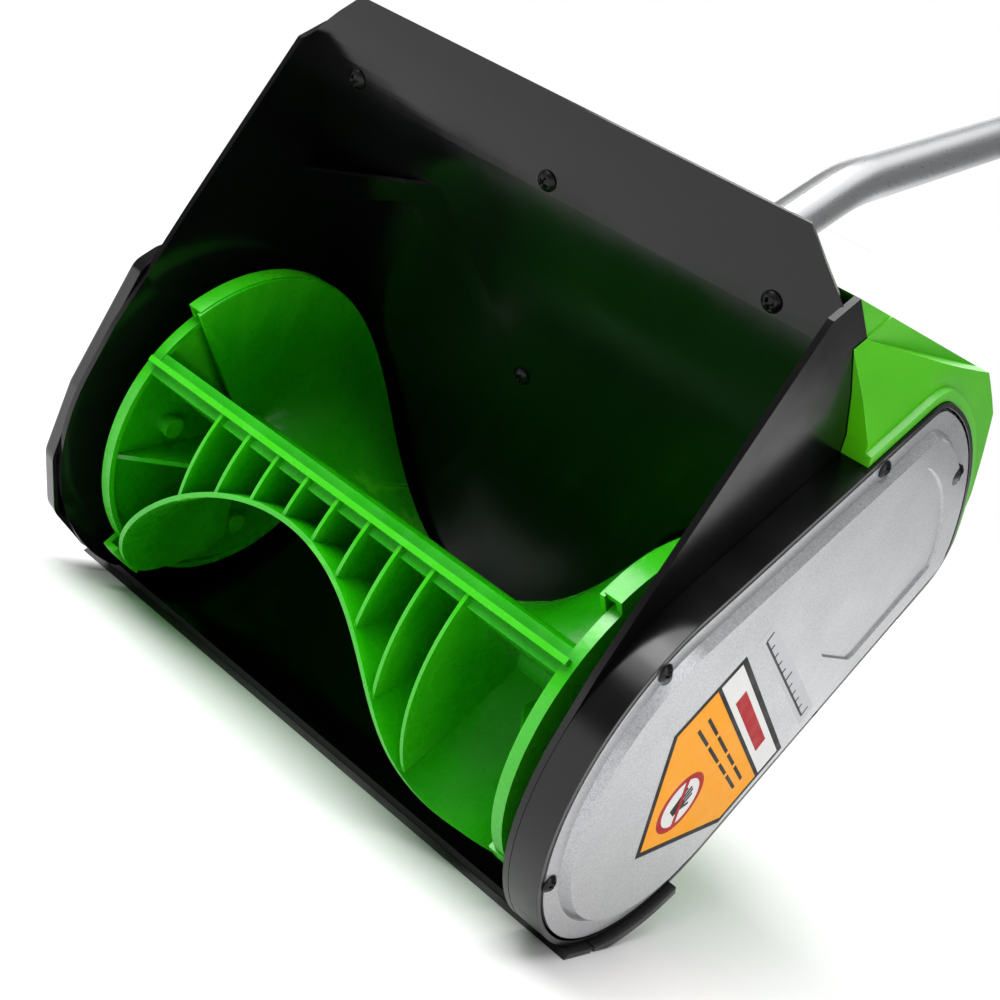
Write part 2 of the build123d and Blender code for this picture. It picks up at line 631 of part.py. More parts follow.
# ---------------------------------------------------------------- rear cover
def rear_cover():
    outline = rear_cover_profile()
    inset = offset(outline, -COVER_WALL)
    side = SIDE_X - 0.5
    shell = slab(outline, -side, side)
    hollow = slab(inset, -side + COVER_WALL, side - COVER_WALL)
    shell -= hollow
    # Open towards the scoop.
    opening = slab(sector(SCOOP_OUT_R + 6, SCOOP_OUT_R - 3, -58, 40), -side + COVER_WALL, side - COVER_WALL)
    front = area(*past(HOOD_TOP, (15, 3.4), (60, -21.6), (84, -40.6), (106, -71.6), (130, -86.6), (140, -66.6),
                       (110, -36.6), (80, -16.6), (30, 9.4)))
    shell -= opening
    shell -= slab(front, -side + COVER_WALL, side - COVER_WALL)
    # Keep clear of the hood panel.
    shell -= slab(offset(hood_block(), GAP), -side - 1, side + 1)
    shell -= rod_x(MOTOR_R + 2, SIDE_X - 20, SIDE_X + 5, MOTOR_AT)
    shell += belt_flank(side)
    shell -= rod_x(MOTOR_R + 2, SIDE_X - 20, CASE_X, MOTOR_AT)
    # Shallow facet on the left flank.
    facet = area(*past(MOTOR_AT, (-116, 96), (12, 105), (42, 90), (-28, 32)), radius=6)
    shell -= slab(facet, -side - 1, -side + 1.5)
    # Socket for the tube.
    shell += socket_plane() * Pos(0, 0, -18) * Cylinder(TUBE_R + 6, 60)
    shell -= socket_plane() * Pos(0, 0, 10) * Cylinder(TUBE_R + GAP / 2, 300)
    return at_axis(shell)


# Front edge of the flank, from the hood's top corner down to the belt case.
FLANK_EDGE = past(HOOD_TOP, (8, 73.4), (0, 12.4), (22, -0.6), (43, -14.6), (63, -30.6), (80, -58.6))


def belt_flank(side):
    """Right flank: a slope that rises from the seam to a band round the end of the belt case."""
    start = SIDE_X + GAP
    keep = area(*FLANK_EDGE, *past(MOTOR_AT, (-38, 2), (32, -14), (162, -14), (162, 162)))
    base = Plane.YZ.offset(start)
    slope = extrude(base * belt_profile(FLANK_REACH), FLANK_RISE, taper=FLANK_TAPER)
    band = extrude(base * belt_profile(CASE_MARGIN + GAP + BAND_T), CASE_X - BAND_GAP - start, taper=12)
    reach = area(*past(HOOD_TOP, (-10, 17.4), (30, 7.4)), *COVER_BACK, *past(MOTOR_AT, (-78, -38), (-128, 2)))
    flank = (slope & slab(reach, start, CASE_X)) + band
    flank = flank & slab(keep, start, CASE_X)
    flank -= slab(belt_profile(CASE_MARGIN + GAP), start - 1, CASE_X + 1)
    # Root of the flank, flush inside the cover's own wall.
    root = slab(belt_profile(FLANK_REACH) & keep & rear_cover_profile(), side - COVER_WALL, start)
    return flank + root - slab(belt_profile(CASE_MARGIN + GAP), SIDE_X - 0.5, CASE_X + 1)


def hood_block():
    """Everything on the mouth side of the hood's outer face."""
    foot = polar(SCOOP_WALL, HOOD_ANGLE, HOOD_FOOT)
    bend = hood_bend(SCOOP_WALL)
    top = polar(SCOOP_WALL, CROWN_ANGLE - 90, CROWN_TOP)
    return area(foot, *bend, top, *past(HOOD_TOP, (-80, 13.4), (0, -186.6)))


BEND_U, BEND_W = past(MOTOR_AT, (BEND_BEHIND, BEND_ABOVE))[0]


def socket_plane():
    """Frame on the lower tube's axis where it enters the rear cover, Z up along the tube."""
    low = radians(TUBE_SLOPE_LOW)
    distance = 92.0
    return Plane(origin=(0, BEND_U - distance * cos(low), BEND_W - distance * sin(low)), x_dir=(1, 0, 0),
                 z_dir=(0, cos(low), sin(low)))


# ---------------------------------------------------------------- tubes
def tube_path(end):
    low = radians(TUBE_SLOPE_LOW)
    high = radians(TUBE_SLOPE)
    foot = (0, BEND_U - LOWER_STUB * cos(low), BEND_W - LOWER_STUB * sin(low))
    bend = (0, BEND_U, BEND_W)
    top = (0, BEND_U + end * cos(high), BEND_W + end * sin(high))
    return FilletPolyline(foot, bend, top, radius=TUBE_BEND_R * 2)


def lower_tube():
    path = tube_path(LOWER_RUN)
    start = Plane(origin=path @ 0, z_dir=path % 0)
    outer = sweep(start * Circle(TUBE_R), path=path)
    inner = sweep(start * Circle(TUBE_R - TUBE_WALL), path=path)
    return at_axis(outer - inner)


def on_tube(distance):
    """Frame on the straight tube: X across, Y along the tube (s), Z across it upwards (t)."""
    high = radians(TUBE_SLOPE)
    origin = (0, AXIS_Y + BEND_U + distance * cos(high), AXIS_Z + BEND_W + distance * sin(high))
    return Plane(origin=origin, x_dir=(1, 0, 0), z_dir=(0, -sin(high), cos(high)))


HANDLE_AT = LOWER_RUN + UPPER_RUN
TUBE_IN_HANDLE = 20.0


def rod_s(radius, s0, s1, x=0.0, t=0.0):
    """Round bar along the tube, in the tube's frame."""
    return Pos(x, (s0 + s1) / 2, t) * Rot(-90, 0, 0) * Cylinder(radius, s1 - s0)


def upper_tube():
    tube = rod_s(TUBE_R, 1, UPPER_RUN + TUBE_IN_HANDLE)
    tube -= rod_s(TUBE_R - TUBE_WALL, 0, UPPER_RUN + TUBE_IN_HANDLE + 1)
    return on_tube(LOWER_RUN) * tube


COUPLER_R = TUBE_R + 5.0
COUPLER_HALF = 48.0


def tube_coupler():
    body = rod_s(COUPLER_R, -COUPLER_HALF, COUPLER_HALF)
    for s in (-COUPLER_HALF + 4, COUPLER_HALF - 4):
        body += rod_s(COUPLER_R + 2, s - 4, s + 4)
    body += Pos(0, KNOB_S, -COUPLER_R + 2) * Box(26, 34, 18)
    body -= rod_s(TUBE_R + 0.05, -100, 100)
    body -= Pos(0, KNOB_S, -COUPLER_R) * Cylinder(KNOB_STUD_R + RUN_FIT, 30)
    return on_tube(LOWER_RUN) * body


KNOB_STUD_R = 4.0
KNOB_S = 24.0


def knob(radius, lobes, height):
    """Hand knob: Z=0 is its seat, it stands up along Z, with a stud below."""
    body = Pos(0, 0, height / 2) * Cylinder(radius, height)
    for index in range(lobes):
        angle = 360 * index / lobes
        body -= Rot(0, 0, angle) * Pos(radius + 3.5, 0, height / 2) * Cylinder(7, height + 2)
    body += Pos(0, 0, height) * Cylinder(radius * 0.45, 3)
    return body


def coupler_knob():
    seat = COUPLER_R + 7 + GAP
    stud = seat - TUBE_R - GAP
    piece = knob(17, 6, 14) + Pos(0, 0, -stud / 2) * Cylinder(KNOB_STUD_R, stud)
    return on_tube(LOWER_RUN) * Pos(0, KNOB_S, -seat) * Rot(180, 0, 0) * piece


# ---------------------------------------------------------------- assist handle
ASSIST_AT = LOWER_RUN + 170.0
PIVOT_T = 30.0
BAIL_R = 7.0
BAIL_WIDTH = 132.0
BAIL_HEIGHT = 132.0
CLAMP_HALF = 15.0
CHEEK_T = 15.0
PIVOT_BOLT_R = 4.0


def assist_clamp():
    body = rod_s(TUBE_R + 6, -22, 22) + Pos(0, 0, 18) * Box(2 * CLAMP_HALF, 44, 24)
    body += Pos(0, 0, PIVOT_T) * Rot(0, 90, 0) * Cylinder(14, 2 * CLAMP_HALF)
    body -= rod_s(TUBE_R + 0.05, -60, 60)
    body -= Pos(0, 0, -TUBE_R - 4) * Box(1.2, 60, 16)
    body -= Pos(0, 0, PIVOT_T) * Rot(0, 90, 0) * Cylinder(PIVOT_BOLT_R + RUN_FIT, 80)
    return on_tube(ASSIST_AT) * body


def assist_bail():
    """D-shaped loop: two cheeks on the pivot, arms that spread, and a round hand bar on top."""
    cheek_x = CLAMP_HALF + GAP + CHEEK_T / 2
    cheek = Rot(0, 90, 0) * Cylinder(13, CHEEK_T)
    half = BAIL_WIDTH / 2
    top = BAIL_HEIGHT
    path = FilletPolyline((-cheek_x, 0, 8), (-cheek_x, 0, 38), (-half, 0, 74), (-half, 0, top), (half, 0, top),
                          (half, 0, 74), (cheek_x, 0, 38), (cheek_x, 0, 8), radius=[14, 30, 26, 26, 30, 14])
    start = Plane(origin=path @ 0, z_dir=path % 0)
    loop = sweep(start * Circle(BAIL_R), path=path)
    body = loop + Pos(-cheek_x, 0, 0) * cheek + Pos(cheek_x, 0, 0) * cheek
    body -= Rot(0, 90, 0) * Cylinder(PIVOT_BOLT_R + RUN_FIT, 120)
    return on_tube(ASSIST_AT) * Pos(0, 0, PIVOT_T) * body


def assist_grip():
    """Soft sleeve on the middle of the hand bar."""
    sleeve = Pos(0, 0, BAIL_HEIGHT) * Rot(0, 90, 0) * (Cylinder(BAIL_R + 4.5, 74) - Cylinder(BAIL_R, 80))
    return on_tube(ASSIST_AT) * Pos(0, 0, PIVOT_T) * sleeve


def assist_bolt():
    outside = CLAMP_HALF + GAP + CHEEK_T
    pin = slab(disc(PIVOT_BOLT_R), -outside - GAP, outside + 12)
    head = slab(Circle(8.5) & RegularPolygon(9, 6), -outside - GAP - 5, -outside - GAP)
    return on_tube(ASSIST_AT) * Pos(0, 0, PIVOT_T) * (pin + head)


def assist_knob():
    piece = knob(15, 5, 14) - Pos(0, 0, 6) * Cylinder(PIVOT_BOLT_R + RUN_FIT, 13)
    outside = CLAMP_HALF + GAP + CHEEK_T
    return on_tube(ASSIST_AT) * Pos(outside + GAP, 0, PIVOT_T) * Rot(0, 90, 0) * piece


# ---------------------------------------------------------------- rear handle
# (s, t) outlines in the handle's frame; its origin is on the tube's axis at HANDLE_AT.
HANDLE_TOP = 46.0
HANDLE_FOOT = -56.0
HANDLE_BACK = 196.0
HANDLE_OUTLINE = [(-40, -20), (-40, 20), (0, 22), (34, HANDLE_TOP), (170, HANDLE_TOP), (HANDLE_BACK, 26),
                  (HANDLE_BACK, HANDLE_FOOT), (8, HANDLE_FOOT), (-16, -34)]
RAIL_START = 30.0            # battery rails under the handle's foot
RAIL_T = 4.0
RAIL_DROP = 10.0
RAIL_LIP = 4.0
HEAD_HALF = 21.7             # half width of the battery's sliding head
GRIP_HOLE = [(62, -30), (62, 14), (166, 14), (166, -30)]
TRIGGER_PIN = (56.0, 20.0)
PLANE_HANDLE = on_tube(HANDLE_AT)


def handle_shape(inset=0.0):
    face = area(*HANDLE_OUTLINE, radius=9) - area(*GRIP_HOLE, radius=12)
    return offset(face, -inset) if inset else face


def strip_s(t0, t1, x0, x1):
    """Bar along the battery rails, in the handle's frame."""
    return slab(area((RAIL_START, t0), (HANDLE_BACK, t0), (HANDLE_BACK, t1), (RAIL_START, t1)), x0, x1)


def handle_shell(side):
    """One moulded half of the rear handle, split down the middle."""
    x0, x1 = (0.0, GRIP_HALF) if side > 0 else (-GRIP_HALF, 0.0)
    skin = slab(handle_shape(), x0, x1)
    inner = slab(handle_shape(SHELL_WALL), -GRIP_HALF + SHELL_WALL, GRIP_HALF - SHELL_WALL)
    half = skin - inner
    # Battery foot: wider than the grip, with a hooked rail on each side.
    rail_x = HEAD_HALF + GAP
    rails = strip_s(HANDLE_FOOT, HANDLE_FOOT + 6, 0, rail_x + RAIL_T)
    rails += strip_s(HANDLE_FOOT - RAIL_DROP, HANDLE_FOOT, rail_x, rail_x + RAIL_T)
    rails += strip_s(HANDLE_FOOT - RAIL_DROP, HANDLE_FOOT - RAIL_DROP + 3, rail_x - RAIL_LIP, rail_x + RAIL_T)
    half += rails if side > 0 else mirror_x(rails)
    half -= rod_s(TUBE_R + 0.05, -80, TUBE_IN_HANDLE + 2)
    collar = rod_s(TUBE_R + 4, -40, TUBE_IN_HANDLE + 2) & Pos(side * 50, 0, 0) * Box(100, 200, 200)
    half += collar - rod_s(TUBE_R + 0.05, -80, TUBE_IN_HANDLE + 1)
    trigger_slot = slab(area((54, 4), (54, 30), (104, 30), (104, 4)), -7, 7)
    half -= trigger_slot
    half -= Pos(0, LOCK_S, 46) * Box(LOCK_W + 2 * GAP, LOCK_L + 2 * GAP, 20)
    for s, t in HANDLE_SCREWS:
        boss = rod_x(4, 0, GRIP_HALF - 1, (s, t)) if side > 0 else rod_x(4, -GRIP_HALF + 1, 0, (s, t))
        half += boss
    for s, t in HANDLE_SCREWS:
        half -= rod_x(1.6, -40, 40, (s, t))
        half -= rod_x(3.6, GRIP_HALF - 2.0, 40, (s, t))
    half -= rod_x(1.5, -GRIP_HALF + 3, GRIP_HALF - 3, TRIGGER_PIN)
    return PLANE_HANDLE * half


HANDLE_SCREWS = [(12, -46), (120, -42), (182, -34), (182, 24), (134, 36), (30, 30)]
LOCK_S, LOCK_W, LOCK_L = 52.0, 12.0, 18.0


def handle_screws():
    result = []
    for s, t in HANDLE_SCREWS:
        screw = Rot(0, 90, 0) * (Pos(0, 0, -0.9) * Cylinder(3.2, 1.8) + Pos(0, 0, -9) * Cylinder(1.4, 18))
        result.append(PLANE_HANDLE * Pos(GRIP_HALF, s, t) * screw)
    return result


def grip_overmould():
    """Soft pad along the top and sides of the grip."""
    face = area((72, 46.1), (160, 46.1), (160, 49), (72, 49), radius=1.2)
    return PLANE_HANDLE * slab(face, -14, 14)


def trigger():
    face = area((50, 23), (62, 23), (100, 16), (102, 9), (94, 3), (76, 2), (62, 9), (51, 16), radius=2)
    body = slab(face, -6, 6)
    return PLANE_HANDLE * (body - rod_x(1.5 + RUN_FIT, -20, 20, TRIGGER_PIN))


def trigger_pin():
    return PLANE_HANDLE * rod_x(1.5, -GRIP_HALF + 3, GRIP_HALF - 3, TRIGGER_PIN)


def lock_button():
    body = Pos(0, LOCK_S, 44.5) * Box(LOCK_W, LOCK_L, 11)
    body += Pos(0, LOCK_S, HANDLE_TOP - SHELL_WALL - GAP - 0.8) * Box(LOCK_W + 4, LOCK_L + 4, 1.6)
    return PLANE_HANDLE * body


def trigger_spring():
    """Return spring behind the trigger, drawn as its closed outer sleeve."""
    sleeve = Pos(0, 94, 27.5) * (Cylinder(3.2, 8) - Cylinder(2.2, 10))
    return PLANE_HANDLE * sleeve


def microswitch():
    body = Pos(0, 76, 32) * Box(8, 20, 10)
    body += Pos(0, 72, 26.6) * Box(3, 4, 2)
    return PLANE_HANDLE * body


def controller_board():
    board = Pos(2, 38, -29) * Box(1.6, 30, 30)
    for s, t, size in ((30, -22, 8), (34, -36, 10), (46, -24, 7)):
        board += Pos(2 + 0.8 + size / 4, s, t) * Box(size / 2, size, size)
    return PLANE_HANDLE * board


def battery_terminals():
    block = Pos(0, 58, -46.9) * Box(26, 22, 5.8)
    return PLANE_HANDLE * block


def power_lead():
    """Two-core lead inside the tubes, from the motor to the controller."""
    path = tube_path(HANDLE_AT + TUBE_IN_HANDLE)
    start = Plane(origin=path @ 0, z_dir=path % 0)
    return at_axis(sweep(start * Circle(3.2), path=path))


BATTERY_START = 34.0


def battery_pack():
    top = HANDLE_FOOT - RAIL_DROP - 2
    bottom = top - BATTERY_HEIGHT
    s0 = BATTERY_START
    s1 = s0 + BATTERY_LENGTH
    body = slab(area((s0, top), (s0, bottom), (s1, bottom), (s1, top), radius=7), -BATTERY_WIDTH / 2,
                BATTERY_WIDTH / 2)
    neck_x = HEAD_HALF - RAIL_LIP - GAP
    head_low = HANDLE_FOOT - RAIL_DROP + 3 + GAP
    body += slab(area((s0 + 8, top - 8), (s1 - 8, top - 8), (s1 - 8, head_low + 1), (s0 + 8, head_low + 1)),
                 -neck_x, neck_x)
    body += slab(area((s0 + 8, head_low), (s1 - 8, head_low), (s1 - 8, HANDLE_FOOT - GAP),
                      (s0 + 8, HANDLE_FOOT - GAP)), -HEAD_HALF, HEAD_HALF)
    body -= Pos(0, s1, top - LATCH_DROP) * Box(LATCH_W + 2 * GAP, 2 * LATCH_POCKET, LATCH_H + 2 * GAP)
    return PLANE_HANDLE * body


LATCH_W, LATCH_H, LATCH_DROP, LATCH_POCKET = 30.0, 14.0, 18.0, 10.0


def battery_latch():
    s1 = BATTERY_START + BATTERY_LENGTH
    top = HANDLE_FOOT - RAIL_DROP - 2
    body = Pos(0, s1 - 3, top - LATCH_DROP) * Box(LATCH_W, 9, LATCH_H)
    return PLANE_HANDLE * body


# ---------------------------------------------------------------- write the parts
save("scoop_housing", scoop_housing())
save("hood_screws", *hood_screws())
save("scraper_bar", scraper_bar())
save("skid_right", skid())
save("skid_left", mirror_x(skid()))
save("left_side_case", left_side_case())
save("side_case_screws", *side_case_screws())
save("auger_rotor", auger_rotor())
save("rotor_shaft", rotor_shaft())
save("bearing_right", bearing())
save("bearing_left", mirror_x(bearing()))
save("belt_idler", belt_idler())
save("idler_stud", idler_stud())
save("belt_case", belt_case())
save("belt_cover", belt_cover())
save("cover_screws", *cover_screws())
save("driven_pulley", pulley(DRIVEN_R, SHAFT_R, (0, 0), spokes=6))
save("drive_pulley", pulley(DRIVE_R, MOTOR_SHAFT_R, MOTOR_AT))
save("drive_belt", drive_belt())
save("motor", motor())
save("motor_shaft", motor_shaft())
save("motor_fan", motor_fan())
save("rear_cover", rear_cover())
save("lower_tube", lower_tube())
save("upper_tube", upper_tube())
save("tube_coupler", tube_coupler())
save("coupler_knob", coupler_knob())
save("assist_clamp", assist_clamp())
save("assist_bail", assist_bail())
save("assist_grip", assist_grip())
save("assist_bolt", assist_bolt())
save("assist_knob", assist_knob())
save("handle_shell_left", handle_shell(-1))
save("handle_shell_right", handle_shell(1))
save("handle_screws", *handle_screws())
save("grip_overmould", grip_overmould())
save("trigger", trigger())
save("trigger_pin", trigger_pin())
save("lock_button", lock_button())
save("trigger_spring", trigger_spring())
save("microswitch", microswitch())
save("controller_board", controller_board())
save("battery_terminals", battery_terminals())
save("power_lead", power_lead())
save("battery_pack", battery_pack())
save("battery_latch", battery_latch())
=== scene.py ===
# %% [markdown]
# # A cordless snow shovel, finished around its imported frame
#
# The frame already holds every piece at its real size and place, in metres. This lesson gives
# those pieces what a moulding shop and a paint line give the real ones: rounded edges, the right
# plastics, paint, metal and rubber, and the small repeated things such as screws and grip ribs.

# %% Load the frame
import bpy, bmesh, json
from math import cos, hypot, pi, radians, sin
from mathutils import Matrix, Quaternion, Vector


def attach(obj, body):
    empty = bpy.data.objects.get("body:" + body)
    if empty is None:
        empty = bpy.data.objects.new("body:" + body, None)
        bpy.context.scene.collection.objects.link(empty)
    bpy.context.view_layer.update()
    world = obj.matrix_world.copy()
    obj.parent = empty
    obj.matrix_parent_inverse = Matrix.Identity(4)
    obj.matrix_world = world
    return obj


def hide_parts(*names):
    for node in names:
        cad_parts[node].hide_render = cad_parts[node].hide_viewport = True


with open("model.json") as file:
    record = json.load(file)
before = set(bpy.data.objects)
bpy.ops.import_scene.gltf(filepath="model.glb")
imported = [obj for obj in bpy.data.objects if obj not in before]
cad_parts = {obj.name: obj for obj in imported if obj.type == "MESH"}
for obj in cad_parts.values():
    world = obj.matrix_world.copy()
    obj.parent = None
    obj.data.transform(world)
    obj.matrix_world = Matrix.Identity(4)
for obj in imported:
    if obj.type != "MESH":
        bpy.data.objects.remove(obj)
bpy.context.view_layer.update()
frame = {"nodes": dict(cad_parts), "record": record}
scene = bpy.context.scene
MM = 0.001
BODY_OF = {node: body for body, nodes in frame["record"]["behaviour"]["bodies"].items() for node in nodes}
print("pieces in the frame:", len(BODY_OF))

# %% [markdown]
# ## The camera
#
# The shovel is seen from in front and to its right, close up, so the scoop fills the view and
# the tube runs out of it. The camera is rolled by almost thirty degrees, as if hand-held. A long
# lens far away would flatten the scoop, so it is a short lens at a little over half a metre.

# %% Camera
CAMERA_AT = Vector((0.3928, -0.6467, 0.2661))
CAMERA_LOOKS = Vector((-0.4856, 0.8603, -0.1552))
CAMERA_ROLL = 29.36
camera_data = bpy.data.cameras.new("camera")
camera_data.lens = 57.48
camera_data.sensor_width = 36.0
camera = bpy.data.objects.new("camera", camera_data)
scene.collection.objects.link(camera)
camera.location = CAMERA_AT
camera.rotation_mode = "QUATERNION"
roll = Quaternion((0, 0, 1), radians(CAMERA_ROLL))
camera.rotation_quaternion = CAMERA_LOOKS.to_track_quat("-Z", "Y") @ roll
camera_data.clip_start = 0.01
scene.camera = camera
print("camera at", tuple(round(v, 3) for v in CAMERA_AT))

# %% [markdown]
# ## Studio
#
# Glossy black plastic shows only what it reflects, so the lights are large and few: a key from
# above on the left, a strip on the right for the silver cover, and a soft fill. The floor is pale
# and plain, and the surroundings are white to the camera but dimmer in reflections.

# %% Studio lights and floor
scene.view_settings.view_transform = "Standard"


def soft_light(name, place, target, size, power):
    data = bpy.data.lights.new(name, "AREA")
    data.shape = "RECTANGLE"
    data.size, data.size_y = size
    data.energy = power
    light = bpy.data.objects.new(name, data)
    scene.collection.objects.link(light)
    light.location = place
    light.rotation_euler = (Vector(target) - Vector(place)).to_track_quat("-Z", "Y").to_euler()
    return light


AIM = (0.0, 0.1, 0.15)
soft_light("key", (-0.9, -1.3, 1.5), AIM, (1.2, 0.9), 15)
soft_light("side_strip", (1.7, -0.3, 0.7), AIM, (0.7, 1.4), 10)
soft_light("top", (0.2, 0.5, 2.0), AIM, (1.6, 1.6), 9)
soft_light("back", (-0.6, 1.9, 1.1), AIM, (1.4, 1.0), 8)

# A wide sun lights the whole floor evenly, so it reads white out to the horizon.
wash_data = bpy.data.lights.new("wash", "SUN")
wash_data.energy = 3.6
wash_data.angle = radians(50)
wash_data.specular_factor = 0.15
wash = bpy.data.objects.new("wash", wash_data)
scene.collection.objects.link(wash)
wash.rotation_euler = (radians(22), radians(-14), 0)

world = bpy.data.worlds.new("studio")
scene.world = world
world.use_nodes = True
sky = world.node_tree
sky.nodes["Background"].inputs["Color"].default_value = (1, 1, 1, 1)
sky.nodes["Background"].inputs["Strength"].default_value = 0.18
bright = sky.nodes.new("ShaderNodeBackground")
bright.inputs["Color"].default_value = (1, 1, 1, 1)
bright.inputs["Strength"].default_value = 1.0
chooser = sky.nodes.new("ShaderNodeMixShader")
rays = sky.nodes.new("ShaderNodeLightPath")
sky.links.new(rays.outputs["Is Camera Ray"], chooser.inputs["Fac"])
sky.links.new(sky.nodes["Background"].outputs[0], chooser.inputs[1])
sky.links.new(bright.outputs[0], chooser.inputs[2])
sky.links.new(chooser.outputs[0], sky.nodes["World Output"].inputs["Surface"])

# %% [markdown]
# ## Helpers for materials
#
# A colour is written as the hex value a paint chart gives, and one function turns it to linear
# light. One function adds a node with its settings and links. Every pattern reads Object
# coordinates, which are metres here, so a scale is one over the real size of the pattern.

# %% Colour and node helpers


def linear(hex_colour, alpha=1.0):
    """sRGB hex value to linear light."""
    values = [int(hex_colour[i:i + 2], 16) / 255 for i in (1, 3, 5)]
    return tuple(v / 12.92 if v <= 0.04045 else ((v + 0.055) / 1.055) ** 2.4 for v in values) + (alpha,)


def add_node(tree, kind, inputs=None, **settings):
    """Add one node, set its properties, and fill its inputs with values or links."""
    node = tree.nodes.new(kind)
    for key, value in settings.items():
        setattr(node, key, value)
    for key, value in (inputs or {}).items():
        socket = node.inputs[key]
        if isinstance(value, bpy.types.NodeSocket):
            tree.links.new(value, socket)
        else:
            socket.default_value = value
    return node


def per_mm(size_mm):
    """Texture scale for a feature of a real size in millimetres."""
    return 1.0 / (size_mm * MM)


def new_material(name, colour, roughness, **surface):
    """A Principled material; returns it with its tree, its shader and its Object coordinates."""
    material = bpy.data.materials.new(name)
    material.use_nodes = True
    tree = material.node_tree
    shader = tree.nodes["Principled BSDF"]
    shader.inputs["Base Color"].default_value = linear(colour)
    shader.inputs["Roughness"].default_value = roughness
    for key, value in surface.items():
        shader.inputs[key.replace("_", " ")].default_value = value
    material.diffuse_color = linear(colour)
    place = add_node(tree, "ShaderNodeTexCoord").outputs["Object"]
    return material, tree, shader, place


def noise(tree, place, size_mm, detail=3.0, roughness=0.5):
    return add_node(tree, "ShaderNodeTexNoise", {"Vector": place, "Scale": per_mm(size_mm), "Detail": detail,
                                                 "Roughness": roughness}).outputs["Fac"]


def spread(tree, value, low, high, to_low, to_high):
    return add_node(tree, "ShaderNodeMapRange", {"Value": value, "From Min": low, "From Max": high,
                                                 "To Min": to_low, "To Max": to_high}).outputs["Result"]


def mix_colour(tree, factor, first, second):
    """Mix two colours, given as hex values or as sockets."""
    node = add_node(tree, "ShaderNodeMix", data_type="RGBA")
    tree.links.new(factor, node.inputs["Factor"])
    for key, value in ((6, first), (7, second)):
        if isinstance(value, str):
            node.inputs[key].default_value = linear(value)
        else:
            tree.links.new(value, node.inputs[key])
    return node.outputs[2]


def bump(tree, shader, height, depth_mm, strength=1.0):
    node = add_node(tree, "ShaderNodeBump",
                    {"Height": height, "Distance": depth_mm * MM, "Strength": strength})
    tree.links.new(node.outputs["Normal"], shader.inputs["Normal"])
    return node


print("helpers ready")

# %% [markdown]
# ## Plastics
#
# The scoop is ABS moulded in a polished tool, so it is glossy and shows long soft reflections that
# waver a little where the wall sank over ribs. Snow and grit leave fine grey specks and scuffs. The
# rotor is the same plastic in green, a little translucent, and its thin edges get a painted highlight: they
# are painted lighter to stand in for light shining through them.

# %% Glossy black ABS


def glossy_black_abs():
    material, tree, shader, place = new_material("glossy_black_abs", "#060607", 0.2, IOR=1.4)
    broad = noise(tree, place, 45, 2)
    dust = noise(tree, place, 1.6, 6, 0.7)
    patch = noise(tree, place, 60, 4, 0.6)
    fleck = add_node(tree, "ShaderNodeMath", {0: spread(tree, dust, 0.62, 0.76, 0, 1),
                                              1: spread(tree, patch, 0.5, 0.68, 0, 1)}, operation="MULTIPLY")
    tree.links.new(mix_colour(tree, fleck.outputs[0], "#060607", "#232325"), shader.inputs["Base Color"])
    tree.links.new(spread(tree, patch, 0.3, 0.75, 0.13, 0.3), shader.inputs["Roughness"])
    bump(tree, shader, broad, 0.9, 0.35)
    return material


# %% Green rotor ABS


def green_rotor_abs():
    material, tree, shader, place = new_material("green_rotor_abs", "#189800", 0.27, IOR=1.53,
                                                 Subsurface_Weight=0.18)
    shader.inputs["Subsurface Radius"].default_value = (0.004, 0.008, 0.001)
    shader.inputs["Subsurface Scale"].default_value = 0.6
    # Painted highlight: thin convex edges, found by pointiness, are painted a lighter green (#36B80E) to
    # stand in for light through the plastic.
    edge = add_node(tree, "ShaderNodeNewGeometry").outputs["Pointiness"]
    painted_edge_highlight = spread(tree, edge, 0.51, 0.56, 0, 1)
    flow = noise(tree, place, 38, 3)
    body = mix_colour(tree, spread(tree, flow, 0.3, 0.7, 0, 1), "#169400", "#20AA02")
    tree.links.new(mix_colour(tree, painted_edge_highlight, body, "#36B80E"), shader.inputs["Base Color"])
    tree.links.new(spread(tree, noise(tree, place, 12, 4), 0.3, 0.7, 0.2, 0.36), shader.inputs["Roughness"])
    bump(tree, shader, noise(tree, place, 9, 2), 0.25, 0.25)
    return material


# %% Lime cover ABS


def lime_cover_abs():
    material, tree, shader, place = new_material("lime_cover_abs", "#46AE00", 0.34, IOR=1.5)
    grain = noise(tree, place, 0.8, 2)
    flow = noise(tree, place, 60, 2)
    tree.links.new(mix_colour(tree, spread(tree, flow, 0.3, 0.7, 0, 1), "#42AA00", "#4EB802"),
                   shader.inputs["Base Color"])
    bump(tree, shader, grain, 0.04, 0.4)
    return material


# %% Textured black nylon


def black_nylon():
    material, tree, shader, place = new_material("textured_black_nylon", "#131314", 0.5, IOR=1.53)
    cells = add_node(tree, "ShaderNodeTexVoronoi", {"Vector": place, "Scale": per_mm(0.9)})
    grain = cells.outputs["Distance"]
    tree.links.new(spread(tree, noise(tree, place, 20, 3), 0.3, 0.7, 0.42, 0.6), shader.inputs["Roughness"])
    bump(tree, shader, grain, 0.08, 0.5)
    return material


def soft_rubber():
    material, tree, shader, place = new_material("soft_black_rubber", "#0E0E0F", 0.62, IOR=1.5)
    shader.inputs["Sheen Weight"].default_value = 0.2
    bump(tree, shader, noise(tree, place, 0.7, 2), 0.05, 0.5)
    return material


# %% [markdown]
# ## Paint and metals
#
# The belt cover is plastic sprayed silver: small bright flakes under a thin clear coat. The tube is
# drawn aluminium with a satin finish, so its scratches run along it. Steel pieces are ground, the
# motor can is plated, and the screws are black zinc.

# %% Silver paint and metals


